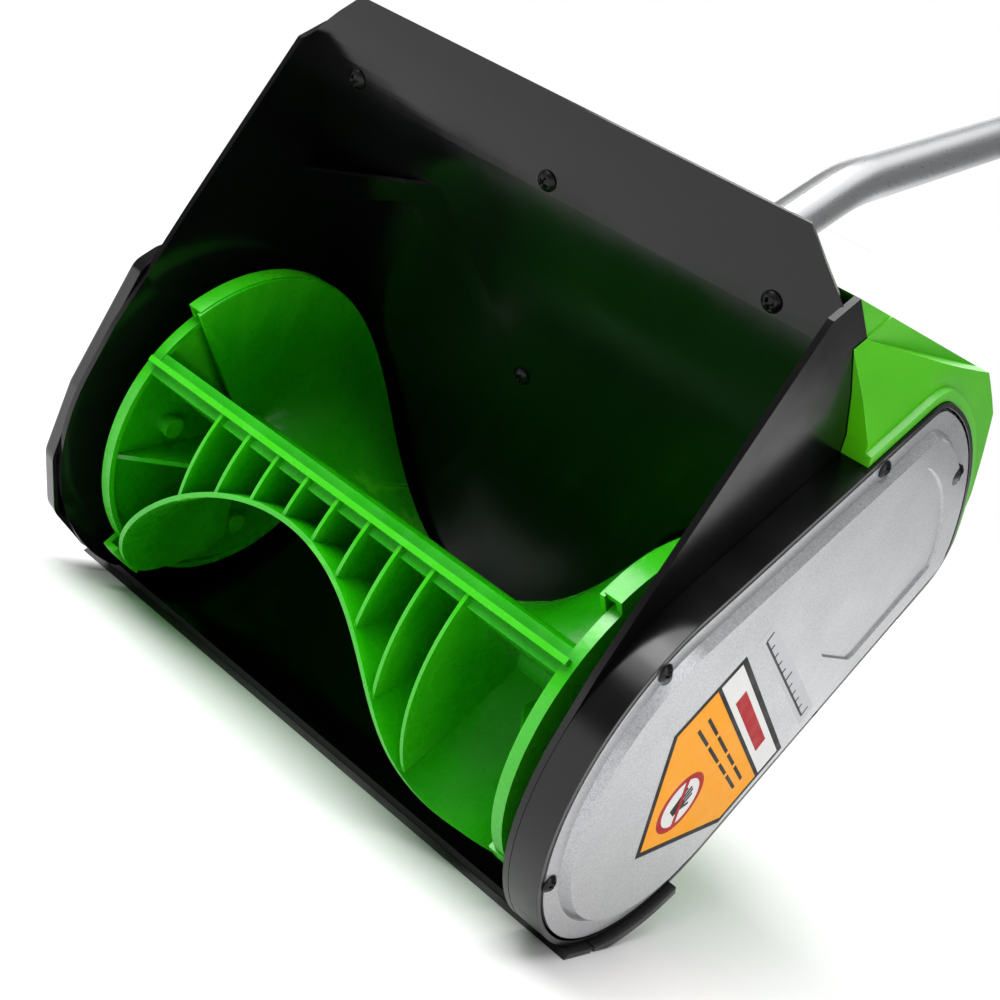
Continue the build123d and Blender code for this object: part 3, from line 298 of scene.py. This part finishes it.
def silver_paint():
    material, tree, shader, place = new_material("silver_paint", "#9C9DA0", 0.36, Metallic=0.55)
    shader.inputs["Coat Weight"].default_value = 0.5
    shader.inputs["Coat Roughness"].default_value = 0.12
    flake = add_node(tree, "ShaderNodeTexVoronoi", {"Vector": place, "Scale": per_mm(0.5)}).outputs["Color"]
    shade = add_node(tree, "ShaderNodeSeparateColor", {"Color": flake}).outputs[0]
    tree.links.new(mix_colour(tree, shade, "#929396", "#AEAFB2"), shader.inputs["Base Color"])
    tree.links.new(spread(tree, noise(tree, place, 30, 3), 0.3, 0.7, 0.27, 0.4), shader.inputs["Roughness"])
    bump(tree, shader, noise(tree, place, 2.5, 2), 0.03, 0.25)
    return material


def drawn_aluminium():
    material, tree, shader, place = new_material("satin_aluminium", "#D2D3D5", 0.32, Metallic=1.0)
    along = add_node(tree, "ShaderNodeMapping", {"Vector": place, "Rotation": (radians(-28.1), 0, 0),
                                                 "Scale": (1, 0.03, 1)}).outputs["Vector"]
    streak = noise(tree, along, 0.6, 4)
    tree.links.new(spread(tree, streak, 0.3, 0.7, 0.26, 0.42), shader.inputs["Roughness"])
    bump(tree, shader, streak, 0.02, 0.3)
    return material


def ground_steel(name, colour, roughness):
    material, tree, shader, place = new_material(name, colour, roughness, Metallic=1.0)
    tree.links.new(spread(tree, noise(tree, place, 3, 5), 0.3, 0.7, roughness - 0.08, roughness + 0.1),
                   shader.inputs["Roughness"])
    bump(tree, shader, noise(tree, place, 0.4, 2), 0.01, 0.3)
    return material


def black_zinc():
    material, tree, shader, place = new_material("black_zinc", "#101012", 0.3, Metallic=0.6)
    tree.links.new(spread(tree, noise(tree, place, 2, 3), 0.3, 0.7, 0.22, 0.42), shader.inputs["Roughness"])
    return material


def powder_black():
    material, tree, shader, place = new_material("black_powder_coat", "#0F0F10", 0.42, IOR=1.5)
    bump(tree, shader, noise(tree, place, 1.2, 3), 0.05, 0.5)
    return material


def printed(name, colour):
    material, tree, shader, place = new_material(name, colour, 0.5, Specular_IOR_Level=0.12)
    tree.links.new(spread(tree, noise(tree, place, 10, 3), 0.3, 0.7, 0.42, 0.58), shader.inputs["Roughness"])
    return material


BLACK_ABS = glossy_black_abs()
GREEN_ROTOR = green_rotor_abs()
LIME_COVER = lime_cover_abs()
NYLON = black_nylon()
RUBBER = soft_rubber()
SILVER = silver_paint()
ALUMINIUM = drawn_aluminium()
STEEL = ground_steel("ground_steel", "#B9BABC", 0.28)
MOTOR_CAN = ground_steel("plated_motor_can", "#8E9094", 0.38)
ZINC = ground_steel("zinc_plate", "#C3C4C2", 0.34)
SCREW_BLACK = black_zinc()
POWDER = powder_black()
BOARD = printed("solder_mask_green", "#0E5B2A")
print("materials:", len(bpy.data.materials))

# %% [markdown]
# ## Rounded edges
#
# No moulded edge is sharp: the tool has a radius of a few tenths of a millimetre, and that radius
# is what catches the light. The frame's meshes are loose triangles with sharp edges. A copy of each
# is merged and its flat faces joined, and a Bevel modifier rounds the edges where faces meet at an
# angle. The copy then stands for the node. Subdivision would round everything, so it isn't used.

# %% Rounded copies


def merged_copy(node, name):
    """Mesh object with a node's shape: merged, with its flat faces joined."""
    work = bmesh.new()
    work.from_mesh(frame["nodes"][node].data)
    bmesh.ops.remove_doubles(work, verts=work.verts, dist=0.004 * MM)
    bmesh.ops.dissolve_degenerate(work, edges=work.edges, dist=0.004 * MM)
    bmesh.ops.dissolve_limit(work, angle_limit=radians(0.6), verts=work.verts, edges=work.edges)
    mesh = bpy.data.meshes.new(name)
    work.to_mesh(mesh)
    work.free()
    piece = bpy.data.objects.new(name, mesh)
    scene.collection.objects.link(piece)
    return piece


def smooth_sharp(piece, material, sharp_deg=32):
    """Smooth shading that breaks where faces meet at more than an angle."""
    piece.data.materials.clear()
    piece.data.materials.append(material)
    for face in piece.data.polygons:
        face.use_smooth = True
    piece.data.set_sharp_from_angle(angle=radians(sharp_deg))


def bake_modifiers(piece):
    """Turn a piece's modifiers into its plain mesh."""
    graph = bpy.context.evaluated_depsgraph_get()
    mesh = bpy.data.meshes.new_from_object(piece.evaluated_get(graph))
    piece.modifiers.clear()
    piece.data = mesh


def settle(piece, body, stands_for=()):
    """Attach a finished piece to its body and hide the nodes that it stands for."""
    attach(piece, body)
    for node in stands_for:
        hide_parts(node)
    return piece


def rounded(node, material, radius_mm, segments=2):
    """Stand-in for a CAD node with rounded edges and its real finish."""
    piece = merged_copy(node, node + "_moulded")
    smooth_sharp(piece, material)
    bevel = piece.modifiers.new("edge radius", "BEVEL")
    bevel.width = radius_mm * MM
    bevel.segments = segments
    bevel.limit_method = "ANGLE"
    bevel.angle_limit = radians(32)
    bevel.use_clamp_overlap = True
    weight = piece.modifiers.new("flat faces stay flat", "WEIGHTED_NORMAL")
    weight.mode = "FACE_AREA"
    weight.weight = 90
    weight.keep_sharp = True
    bake_modifiers(piece)
    return settle(piece, BODY_OF[node], [node])


ROUNDED = {
    "scoop_housing": (BLACK_ABS, "black_abs", 0.7),
    "left_side_case": (BLACK_ABS, "black_abs", 1.2),
    "belt_case": (BLACK_ABS, "black_abs", 0.7),
    "scraper_bar": (NYLON, "scraper_plastic", 0.4),
    "skid_right": (NYLON, "scraper_plastic", 0.8),
    "skid_left": (NYLON, "scraper_plastic", 0.8),
    "auger_rotor": (GREEN_ROTOR, "green_abs", 0.5),
    "rear_cover": (LIME_COVER, "green_cover_abs", 1.5),
    "belt_cover": (SILVER, "silver_paint", 0.9),
    "tube_coupler": (NYLON, "handle_nylon", 1.0),
    "coupler_knob": (NYLON, "handle_nylon", 0.8),
    "assist_clamp": (NYLON, "handle_nylon", 1.0),
    "assist_knob": (NYLON, "handle_nylon", 0.8),
    "assist_bail": (POWDER, "assist_steel", 0.6),
    "assist_grip": (RUBBER, "grip_rubber", 1.0),
    "assist_bolt": (ZINC, "zinc_bolt", 0.3),
    "handle_shell_left": (LIME_COVER, "handle_abs", 1.2),
    "handle_shell_right": (LIME_COVER, "handle_abs", 1.2),
    "grip_overmould": (RUBBER, "grip_rubber", 0.6),
    "trigger": (NYLON, "trigger_abs", 0.8),
    "lock_button": (NYLON, "trigger_abs", 0.8),
    "battery_latch": (LIME_COVER, "trigger_abs", 0.8),
    "battery_pack": (NYLON, "battery_abs", 1.5),
}
for node, (material, slot, radius_mm) in ROUNDED.items():
    made = rounded(node, material, radius_mm)
    print(f"{node}: {len(made.data.polygons)} faces")

# %% [markdown]
# ## Pieces that keep their CAD shape
#
# Tubes, shafts, pulleys, the belt and the electrics are simple turned or cut shapes. They only need
# the right finish, so their own objects get a material.

# %% Materials on the carried-over nodes
CARRIED = {
    "lower_tube": ALUMINIUM, "upper_tube": ALUMINIUM,
    "rotor_shaft": STEEL, "bearing_right": STEEL, "bearing_left": STEEL, "motor_shaft": STEEL,
    "trigger_pin": STEEL, "trigger_spring": STEEL, "idler_stud": STEEL,
    "driven_pulley": NYLON, "drive_pulley": NYLON, "belt_idler": NYLON, "motor_fan": NYLON,
    "drive_belt": RUBBER, "motor": MOTOR_CAN, "microswitch": NYLON, "battery_terminals": NYLON,
    "controller_board": BOARD, "power_lead": RUBBER,
}
for node, material in CARRIED.items():
    shown = frame["nodes"][node]
    shown.data.materials.clear()
    shown.data.materials.append(material)
print("carried over:", len(CARRIED))

# %% [markdown]
# ## Places on the machine
#
# Positions are given as on the drawing: across the machine, behind the rotor's axis and above it,
# in millimetres. On the tube and the handle they are across, along the tube from its bend, and
# square to it.

# %% Frames of the drawing
AXIS = Vector((0, 5, 100)) * MM
BEND = AXIS + Vector((0, 217, 277)) * MM
TUBE_ALONG = Vector((0, cos(radians(28.1)), sin(radians(28.1))))
TUBE_UP = Vector((0, -sin(radians(28.1)), cos(radians(28.1))))
COVER_FACE = 175.0
CASE_EDGE = 171.0
HANDLE_FROM_BEND = 940.0
ASSIST_FROM_BEND = 550.0


def at_axis(x, behind, above):
    return AXIS + Vector((x, behind, above)) * MM


def at_tube(x, along, square):
    return BEND + Vector((x * MM, 0, 0)) + TUBE_ALONG * (along * MM) + TUBE_UP * (square * MM)


print("handle starts at", tuple(round(v, 3) for v in at_tube(0, HANDLE_FROM_BEND, 0)))

# %% [markdown]
# ## Labels
#
# The silver cover carries two printed vinyl labels, laid on after painting. Their printing is kept
# generic: a pictogram that tells hands to keep off, plain bars for lines of print, and a ruler for
# the clearing width. Each layer of print is a thin flat plate a few hundredths of a millimetre over
# the last.

# %% Label plates
INK_BLACK = printed("label_ink_black", "#0B0B0C")
INK_AMBER = printed("label_amber", "#EE9C00")
INK_WHITE = printed("label_white", "#DADAD8")
INK_RED = printed("label_red", "#A4000E")
INK_GREY = printed("label_grey", "#3A3B3F")
LIFT = 0.04
COUNTS = {}


def plate(points, level, material):
    """Thin vinyl layer on the silver cover, from its outline behind and above the rotor's axis."""
    COUNTS[material.name] = COUNTS.get(material.name, 0) + 1
    name = f"{material.name}_{COUNTS[material.name]}"
    mesh = bpy.data.meshes.new(name)
    work = bmesh.new()
    low = COVER_FACE + 0.01
    high = COVER_FACE + 0.04 + LIFT * level
    area = sum(a[0] * b[1] - b[0] * a[1] for a, b in zip(points, points[1:] + points[:1]))
    ordered = points if area > 0 else points[::-1]
    top = [work.verts.new(at_axis(high, u, w)) for u, w in ordered]
    foot = [work.verts.new(at_axis(low, u, w)) for u, w in ordered]
    work.faces.new(top)
    work.faces.new(foot[::-1])
    for index, corner in enumerate(top):
        after = (index + 1) % len(top)
        work.faces.new((corner, foot[index], foot[after], top[after]))
    work.to_mesh(mesh)
    work.free()
    piece = bpy.data.objects.new(name, mesh)
    scene.collection.objects.link(piece)
    mesh.materials.append(material)
    return settle(piece, "machine")


def between(a, b, share):
    return (a[0] + (b[0] - a[0]) * share, a[1] + (b[1] - a[1]) * share)


def inset(points, amount):
    """A convex outline moved inwards by an amount."""
    centre = (sum(p[0] for p in points) / len(points), sum(p[1] for p in points) / len(points))
    lines = []
    for a, b in zip(points, points[1:] + points[:1]):
        run = hypot(b[0] - a[0], b[1] - a[1])
        normal = (-(b[1] - a[1]) / run, (b[0] - a[0]) / run)
        if (centre[0] - a[0]) * normal[0] + (centre[1] - a[1]) * normal[1] < 0:
            normal = (-normal[0], -normal[1])
        lines.append((normal[0], normal[1], normal[0] * a[0] + normal[1] * a[1] + amount))
    corners = []
    for (a0, b0, c0), (a1, b1, c1) in zip(lines[-1:] + lines[:-1], lines):
        scale = a0 * b1 - a1 * b0
        corners.append(((c0 * b1 - c1 * b0) / scale, (a0 * c1 - a1 * c0) / scale))
    return corners


def strip(start, end, width):
    """Straight bar between two points."""
    run = hypot(end[0] - start[0], end[1] - start[1])
    side = (-(end[1] - start[1]) / run * width / 2, (end[0] - start[0]) / run * width / 2)
    return [(start[0] + side[0], start[1] + side[1]), (end[0] + side[0], end[1] + side[1]),
            (end[0] - side[0], end[1] - side[1]), (start[0] - side[0], start[1] - side[1])]


def round_plate(centre, radius, sides=40):
    return [(centre[0] + radius * cos(2 * pi * k / sides), centre[1] + radius * sin(2 * pi * k / sides))
            for k in range(sides)]


# %% Warning label
LABEL = [(-17.0, 56.0), (95.0, 9.0), (70.0, -33.0), (-6.0, -48.0), (-43.0, 16.0)]
border = inset(LABEL, 3.2)
plate(LABEL, 0, INK_BLACK)
plate(border, 1, INK_AMBER)
# The header is the upper band, white with one bold bar in place of its word.
band = [border[0], border[1], between(border[1], border[2], 0.36), between(border[0], border[4], 0.36)]
plate(band, 2, INK_WHITE)
plate(strip(band[3], band[2], 2.2), 3, INK_BLACK)
middle = [between(band[0], band[3], 0.47), between(band[1], band[2], 0.47)]
plate(strip(between(*middle, 0.22), between(*middle, 0.78), 7.5), 3, INK_RED)
# Two rows of print under the header.
for row in (0.20, 0.33):
    left = between(band[3], border[4], row * 2.0)
    right = between(band[2], border[2], row * 1.5)
    for first_end, last_end in ((0.12, 0.3), (0.33, 0.52), (0.55, 0.68), (0.71, 0.88)):
        plate(strip(between(left, right, first_end), between(left, right, last_end), 1.9), 2, INK_BLACK)
# Red ring with an open hand and a bar across it.
RING = (7.0, -19.0)
plate(round_plate(RING, 16.5), 2, INK_RED)
plate(round_plate(RING, 13.2), 3, INK_WHITE)


def hand_point(across, up):
    """Point of the pictogram; the label leans, and so does its hand."""
    lean = radians(-22)
    return (RING[0] + across * cos(lean) - up * sin(lean), RING[1] + across * sin(lean) + up * cos(lean))


PALM = ((-4.6, 1.5), (-3.6, -6.5), (3.0, -6.5), (4.8, 0.8), (4.4, 2.2))
plate([hand_point(across, up) for across, up in PALM], 4, INK_BLACK)
for across, tip in ((-3.7, 7.0), (-1.3, 9.0), (1.1, 8.8), (3.5, 7.2)):
    plate(strip(hand_point(across, 0.5), hand_point(across * 1.15, tip), 1.8), 5, INK_BLACK)
plate(strip(hand_point(4.0, -1.5), hand_point(7.8, 3.2), 1.8), 5, INK_BLACK)
plate(strip(hand_point(-10.2, 8.8), hand_point(10.2, -8.8), 2.6), 6, INK_RED)

# %% Size label
RULER = [(-9.0, 74.0), (104.0, 33.0), (101.0, 22.5), (-12.0, 63.5)]
plate(RULER, 0, printed("label_silver_vinyl", "#B9BBBE"))
base_left, base_right = between(RULER[3], RULER[0], 0.25), between(RULER[2], RULER[1], 0.25)
plate(strip(between(base_left, base_right, 0.06), between(base_left, base_right, 0.94), 1.3), 1, INK_GREY)
for tick in range(11):
    share = 0.06 + 0.088 * tick
    foot = between(base_left, base_right, share)
    tall = 0.5 if tick % 5 == 0 else 0.28
    head = between(between(RULER[3], RULER[2], share), between(RULER[0], RULER[1], share), 0.25 + tall)
    plate(strip(foot, head, 1.5), 1, INK_GREY)
print("label plates:", sum(COUNTS.values()))

# %% [markdown]
# ## Screws, ribs and vents by rule
#
# The screws, the ribs on the soft grips and the vent slots repeat, so a rule places them: a small
# Geometry Nodes tree takes a list of frames as vertices with a direction each, and puts one shape
# on every vertex. The shapes themselves are made once: a pan head with a cross recess pressed in, a
# rubber ring, and a slot. The result is realised into a plain mesh for each body.

# %% Repeat tree


def repeat_tree():
    """Instance one shape on every vertex, turned to the vertex's direction."""
    tree = bpy.data.node_groups.new("repeat_on_points", "GeometryNodeTree")
    tree.interface.new_socket("Geometry", in_out="INPUT", socket_type="NodeSocketGeometry")
    for label, kind in (("Shape", "NodeSocketObject"), ("Scale", "NodeSocketFloat"),
                        ("Spin jitter", "NodeSocketFloat"), ("Seed", "NodeSocketInt"),
                        ("Finish", "NodeSocketMaterial")):
        tree.interface.new_socket(label, in_out="INPUT", socket_type=kind)
    tree.interface.new_socket("Geometry", in_out="OUTPUT", socket_type="NodeSocketGeometry")
    given = tree.nodes.new("NodeGroupInput").outputs
    shape = add_node(tree, "GeometryNodeObjectInfo", {"Object": given["Shape"]})
    facing = add_node(tree, "GeometryNodeInputNamedAttribute", {"Name": "facing"}, data_type="FLOAT_VECTOR")
    direction = facing.outputs["Attribute"]
    turn = add_node(tree, "FunctionNodeAlignRotationToVector", {"Vector": direction}, axis="Z")
    low = add_node(tree, "ShaderNodeMath", {0: given["Spin jitter"], 1: -1.0}, operation="MULTIPLY")
    chance = add_node(tree, "FunctionNodeRandomValue", {2: low.outputs[0], 3: given["Spin jitter"],
                                                        "Seed": given["Seed"]}, data_type="FLOAT")
    spin = add_node(tree, "FunctionNodeAxisAngleToRotation", {"Angle": chance.outputs[1]})
    whole = add_node(tree, "FunctionNodeRotateRotation",
                     {"Rotation": turn.outputs[0], "Rotate By": spin.outputs[0]}, rotation_space="LOCAL")
    put = add_node(tree, "GeometryNodeInstanceOnPoints",
                   {"Points": given["Geometry"], "Instance": shape.outputs["Geometry"],
                    "Rotation": whole.outputs[0], "Scale": given["Scale"]})
    real = add_node(tree, "GeometryNodeRealizeInstances", {"Geometry": put.outputs["Instances"]})
    painted = add_node(tree, "GeometryNodeSetMaterial", {"Geometry": real.outputs["Geometry"],
                                                         "Material": given["Finish"]})
    leaving = tree.nodes.new("NodeGroupOutput")
    tree.links.new(painted.outputs["Geometry"], leaving.inputs["Geometry"])
    return tree


REPEAT = repeat_tree()


def repeated(name, shape, places, material, body, stands_for=(), scale=1.0, jitter=0.0, seed=1):
    """One mesh with a shape on every (point, direction)."""
    mesh = bpy.data.meshes.new(name)
    mesh.from_pydata([tuple(point) for point, _ in places], [], [])
    mesh.attributes.new("facing", "FLOAT_VECTOR", "POINT")
    for index, (_, direction) in enumerate(places):
        mesh.attributes["facing"].data[index].vector = direction
    piece = bpy.data.objects.new(name, mesh)
    scene.collection.objects.link(piece)
    rule = piece.modifiers.new("repeat", "NODES")
    rule.node_group = REPEAT
    wanted = {"Shape": shape, "Scale": scale, "Spin jitter": jitter, "Seed": seed, "Finish": material}
    for item in REPEAT.interface.items_tree:
        if item.in_out == "INPUT" and item.name in wanted:
            rule[item.identifier] = wanted[item.name]
    bake_modifiers(piece)
    return settle(piece, body, stands_for)


def shape_object(name, build):
    """A shape to repeat, not shown by itself."""
    mesh = bpy.data.meshes.new(name)
    work = bmesh.new()
    build(work)
    bmesh.ops.recalc_face_normals(work, faces=work.faces)
    work.to_mesh(mesh)
    work.free()
    for face in mesh.polygons:
        face.use_smooth = True
    mesh.set_sharp_from_angle(angle=radians(38))
    shape = bpy.data.objects.new(name, mesh)
    return shape


print("repeat tree nodes:", len(REPEAT.nodes))

# %% Shapes to repeat


def pan_head(radius, height, recess, neck=0.05):
    """Domed head with a pressed cross, facing +Z, and a neck below its origin; in millimetres."""
    rings, sides = 12, 48

    def build(work):
        grid = []
        for ring in range(1, rings + 1):
            r = radius * ring / rings
            row = []
            for side in range(sides):
                x, y = r * cos(2 * pi * side / sides), r * sin(2 * pi * side / sides)
                dome = height * (1 - (r / radius) ** 2.4 * 0.82)
                arm = max(0.0, 1 - max(abs(x), abs(y)) / (radius * 0.62))
                in_cross = min(abs(x), abs(y)) < radius * 0.13 and max(abs(x), abs(y)) < radius * 0.6
                depth = recess * min(1, arm * 2.2) if in_cross else 0
                row.append(work.verts.new(Vector((x, y, dome - depth)) * MM))
            grid.append(row)
        centre = work.verts.new((0, 0, (height - recess) * MM))
        skirt = [work.verts.new((v.co.x, v.co.y, -neck * MM)) for v in grid[-1]]
        for side in range(sides):
            after = (side + 1) % sides
            work.faces.new((centre, grid[0][side], grid[0][after]))
            for inner, outer in zip(grid, grid[1:] + [skirt]):
                work.faces.new((inner[side], outer[side], outer[after], inner[after]))
        work.faces.new(skirt[::-1])
    return build


def rubber_ring(radius, thickness):
    """Torus around Z for a rib on a grip."""
    def build(work):
        loops = []
        for step in range(48):
            around = 2 * pi * step / 48
            loops.append([work.verts.new(Vector((cos(around) * (radius + thickness * cos(t)),
                                                 sin(around) * (radius + thickness * cos(t)),
                                                 thickness * sin(t))) * MM)
                          for t in (2 * pi * k / 10 for k in range(10))])
        for first_loop, next_loop in zip(loops, loops[1:] + loops[:1]):
            for k in range(10):
                after = (k + 1) % 10
                work.faces.new((first_loop[k], next_loop[k], next_loop[after], first_loop[after]))
    return build


def pad(length, width, height):
    """Long low pad with rounded ends, lying along X and facing +Z."""
    def build(work):
        outline = []
        for centre, start in ((length / 2 - width / 2, -90), (-length / 2 + width / 2, 90)):
            for k in range(9):
                angle = radians(start + 22.5 * k)
                outline.append((centre + cos(angle) * width / 2, sin(angle) * width / 2))
        layers = []
        for share, lift in ((1.0, -0.3), (1.0, height * 0.5), (0.8, height)):
            pull = 1 - (1 - share) * width / length
            layers.append([work.verts.new(Vector((x * pull, y * share, lift)) * MM) for x, y in outline])
        work.faces.new(layers[-1])
        work.faces.new(layers[0][::-1])
        for lower, upper in zip(layers, layers[1:]):
            for k in range(len(outline)):
                after = (k + 1) % len(outline)
                work.faces.new((lower[k], lower[after], upper[after], upper[k]))
    return build


NECK = 2.4                         # lift of the one tall head
SCREW_LARGE = shape_object("screw_head_large", pan_head(5.0, 3.4, 1.5))
SCREW_SMALL = shape_object("screw_head_small", pan_head(4.2, 2.6, 1.2))
SCREW_TALL = shape_object("screw_head_tall", pan_head(4.2, 2.6, 1.2, NECK))
SCREW_FINE = shape_object("screw_head_fine", pan_head(3.5, 2.0, 0.9))
GRIP_RING = shape_object("grip_ring", rubber_ring(11.4, 0.75))
TOP_RIB = shape_object("top_rib", pad(24.0, 3.0, 0.9))
VENT = shape_object("vent_slot", pad(18.0, 2.6, 0.15))
print("shapes ready")

# %% Place the screws


def facing(degrees_up):
    """Direction in the machine's side view, from backwards turning up."""
    return (0, cos(radians(degrees_up)), sin(radians(degrees_up)))


HOOD_BEND = (-58.3, 187.9)         # middle of the hood's gentle bend, on its inner face
HOOD_BEND_FACES = 216.75
HOOD_BEND_ACROSS = (-122, 0, 122)
HOOD_FLAT = (-16, 29.89, 101.23)   # the lower screw, on the flat of the hood
HOOD_FLAT_FACES = 226.5
hood_places = [(at_axis(x, *HOOD_BEND), facing(HOOD_BEND_FACES)) for x in HOOD_BEND_ACROSS]
hood_places.append((at_axis(*HOOD_FLAT), facing(HOOD_FLAT_FACES)))
repeated("hood_screw_heads", SCREW_LARGE, hood_places, SCREW_BLACK, "machine", ["hood_screws"],
         jitter=0.7, seed=4)

COVER_SCREWS = ((-78, 43.06), (-69.98, -57.07), (22, 151), (120, 28))
COVER_CORNER_SCREW = (111, 165)    # lifted on a neck, so the raised panel doesn't hide it
cover_places = [(at_axis(CASE_EDGE, *point), (1, 0, 0)) for point in COVER_SCREWS]
repeated("cover_screw_heads", SCREW_SMALL, cover_places, SCREW_BLACK, "machine",
         ["cover_screws"], jitter=0.7, seed=7)
corner_place = [(at_axis(CASE_EDGE + NECK, *COVER_CORNER_SCREW), (1, 0, 0))]
repeated("cover_corner_screw_head", SCREW_TALL, corner_place, SCREW_BLACK, "machine")

LEFT_CASE_FACE = -166.0
LEFT_CASE_SCREWS = ((62.02, 22.57), (-22.57, 62.02), (-62.02, -22.57), (22.57, -62.02))
side_places = [(at_axis(LEFT_CASE_FACE, *point), (-1, 0, 0)) for point in LEFT_CASE_SCREWS]
repeated("side_case_screw_heads", SCREW_FINE, side_places, SCREW_BLACK, "machine",
         ["side_case_screws"], jitter=0.7, seed=2)

HANDLE_SCREWS = ((12, -46), (120, -42), (182, -34), (182, 24), (134, 36), (30, 30))
HANDLE_SCREW_SEAT = 16.2
handle_places = [(at_tube(HANDLE_SCREW_SEAT, HANDLE_FROM_BEND + along, up), (1, 0, 0))
                 for along, up in HANDLE_SCREWS]
repeated("handle_screw_heads", SCREW_FINE, handle_places, SCREW_BLACK, "machine",
         ["handle_screws"], scale=0.9, jitter=0.7, seed=5)
print("screw heads:", len(hood_places + cover_places + side_places + handle_places))

# %% Ribs on the soft grips and vents behind the motor
HAND_BAR_ABOVE_TUBE = 162.0
GRIP_PAD_TOP = 49.0
VENT_FACE_TOP = (188.0, 158.0)     # top of the rear face behind the motor
VENT_FACE_LEAN = 0.08              # how far that face moves backwards for each millimetre down
VENT_FACES = 4.6
VENT_ACROSS = (84, 108, 132)
ring_places = [(at_tube(x, ASSIST_FROM_BEND, HAND_BAR_ABOVE_TUBE), (1, 0, 0)) for x in range(-33, 34, 3)]
repeated("assist_grip_rings", GRIP_RING, ring_places, RUBBER, BODY_OF["assist_grip"])
rib_places = [(at_tube(0, HANDLE_FROM_BEND + along, GRIP_PAD_TOP), TUBE_UP) for along in range(78, 157, 6)]
repeated("grip_pad_ribs", TOP_RIB, rib_places, RUBBER, BODY_OF["grip_overmould"])
vent_places = [(at_axis(x, VENT_FACE_TOP[0] + (VENT_FACE_TOP[1] - w) * VENT_FACE_LEAN, w), facing(VENT_FACES))
               for x in VENT_ACROSS for w in range(114, 153, 6)]
repeated("motor_vents", VENT, vent_places, NYLON, "machine")
print("rings, ribs and vents:", len(ring_places), len(rib_places), len(vent_places))

# %% [markdown]
# ## Floor
#
# A plain pale floor, wide enough for its edge to stay far out of every view.

# %% Floor
floor_mesh = bpy.data.meshes.new("floor")
floor_work = bmesh.new()
bmesh.ops.create_grid(floor_work, x_segments=1, y_segments=1, size=30)
floor_work.to_mesh(floor_mesh)
floor_work.free()
floor = bpy.data.objects.new("floor", floor_mesh)
scene.collection.objects.link(floor)
floor_mesh.materials.append(new_material("pale_floor", "#F4F4F4", 0.7)[0])
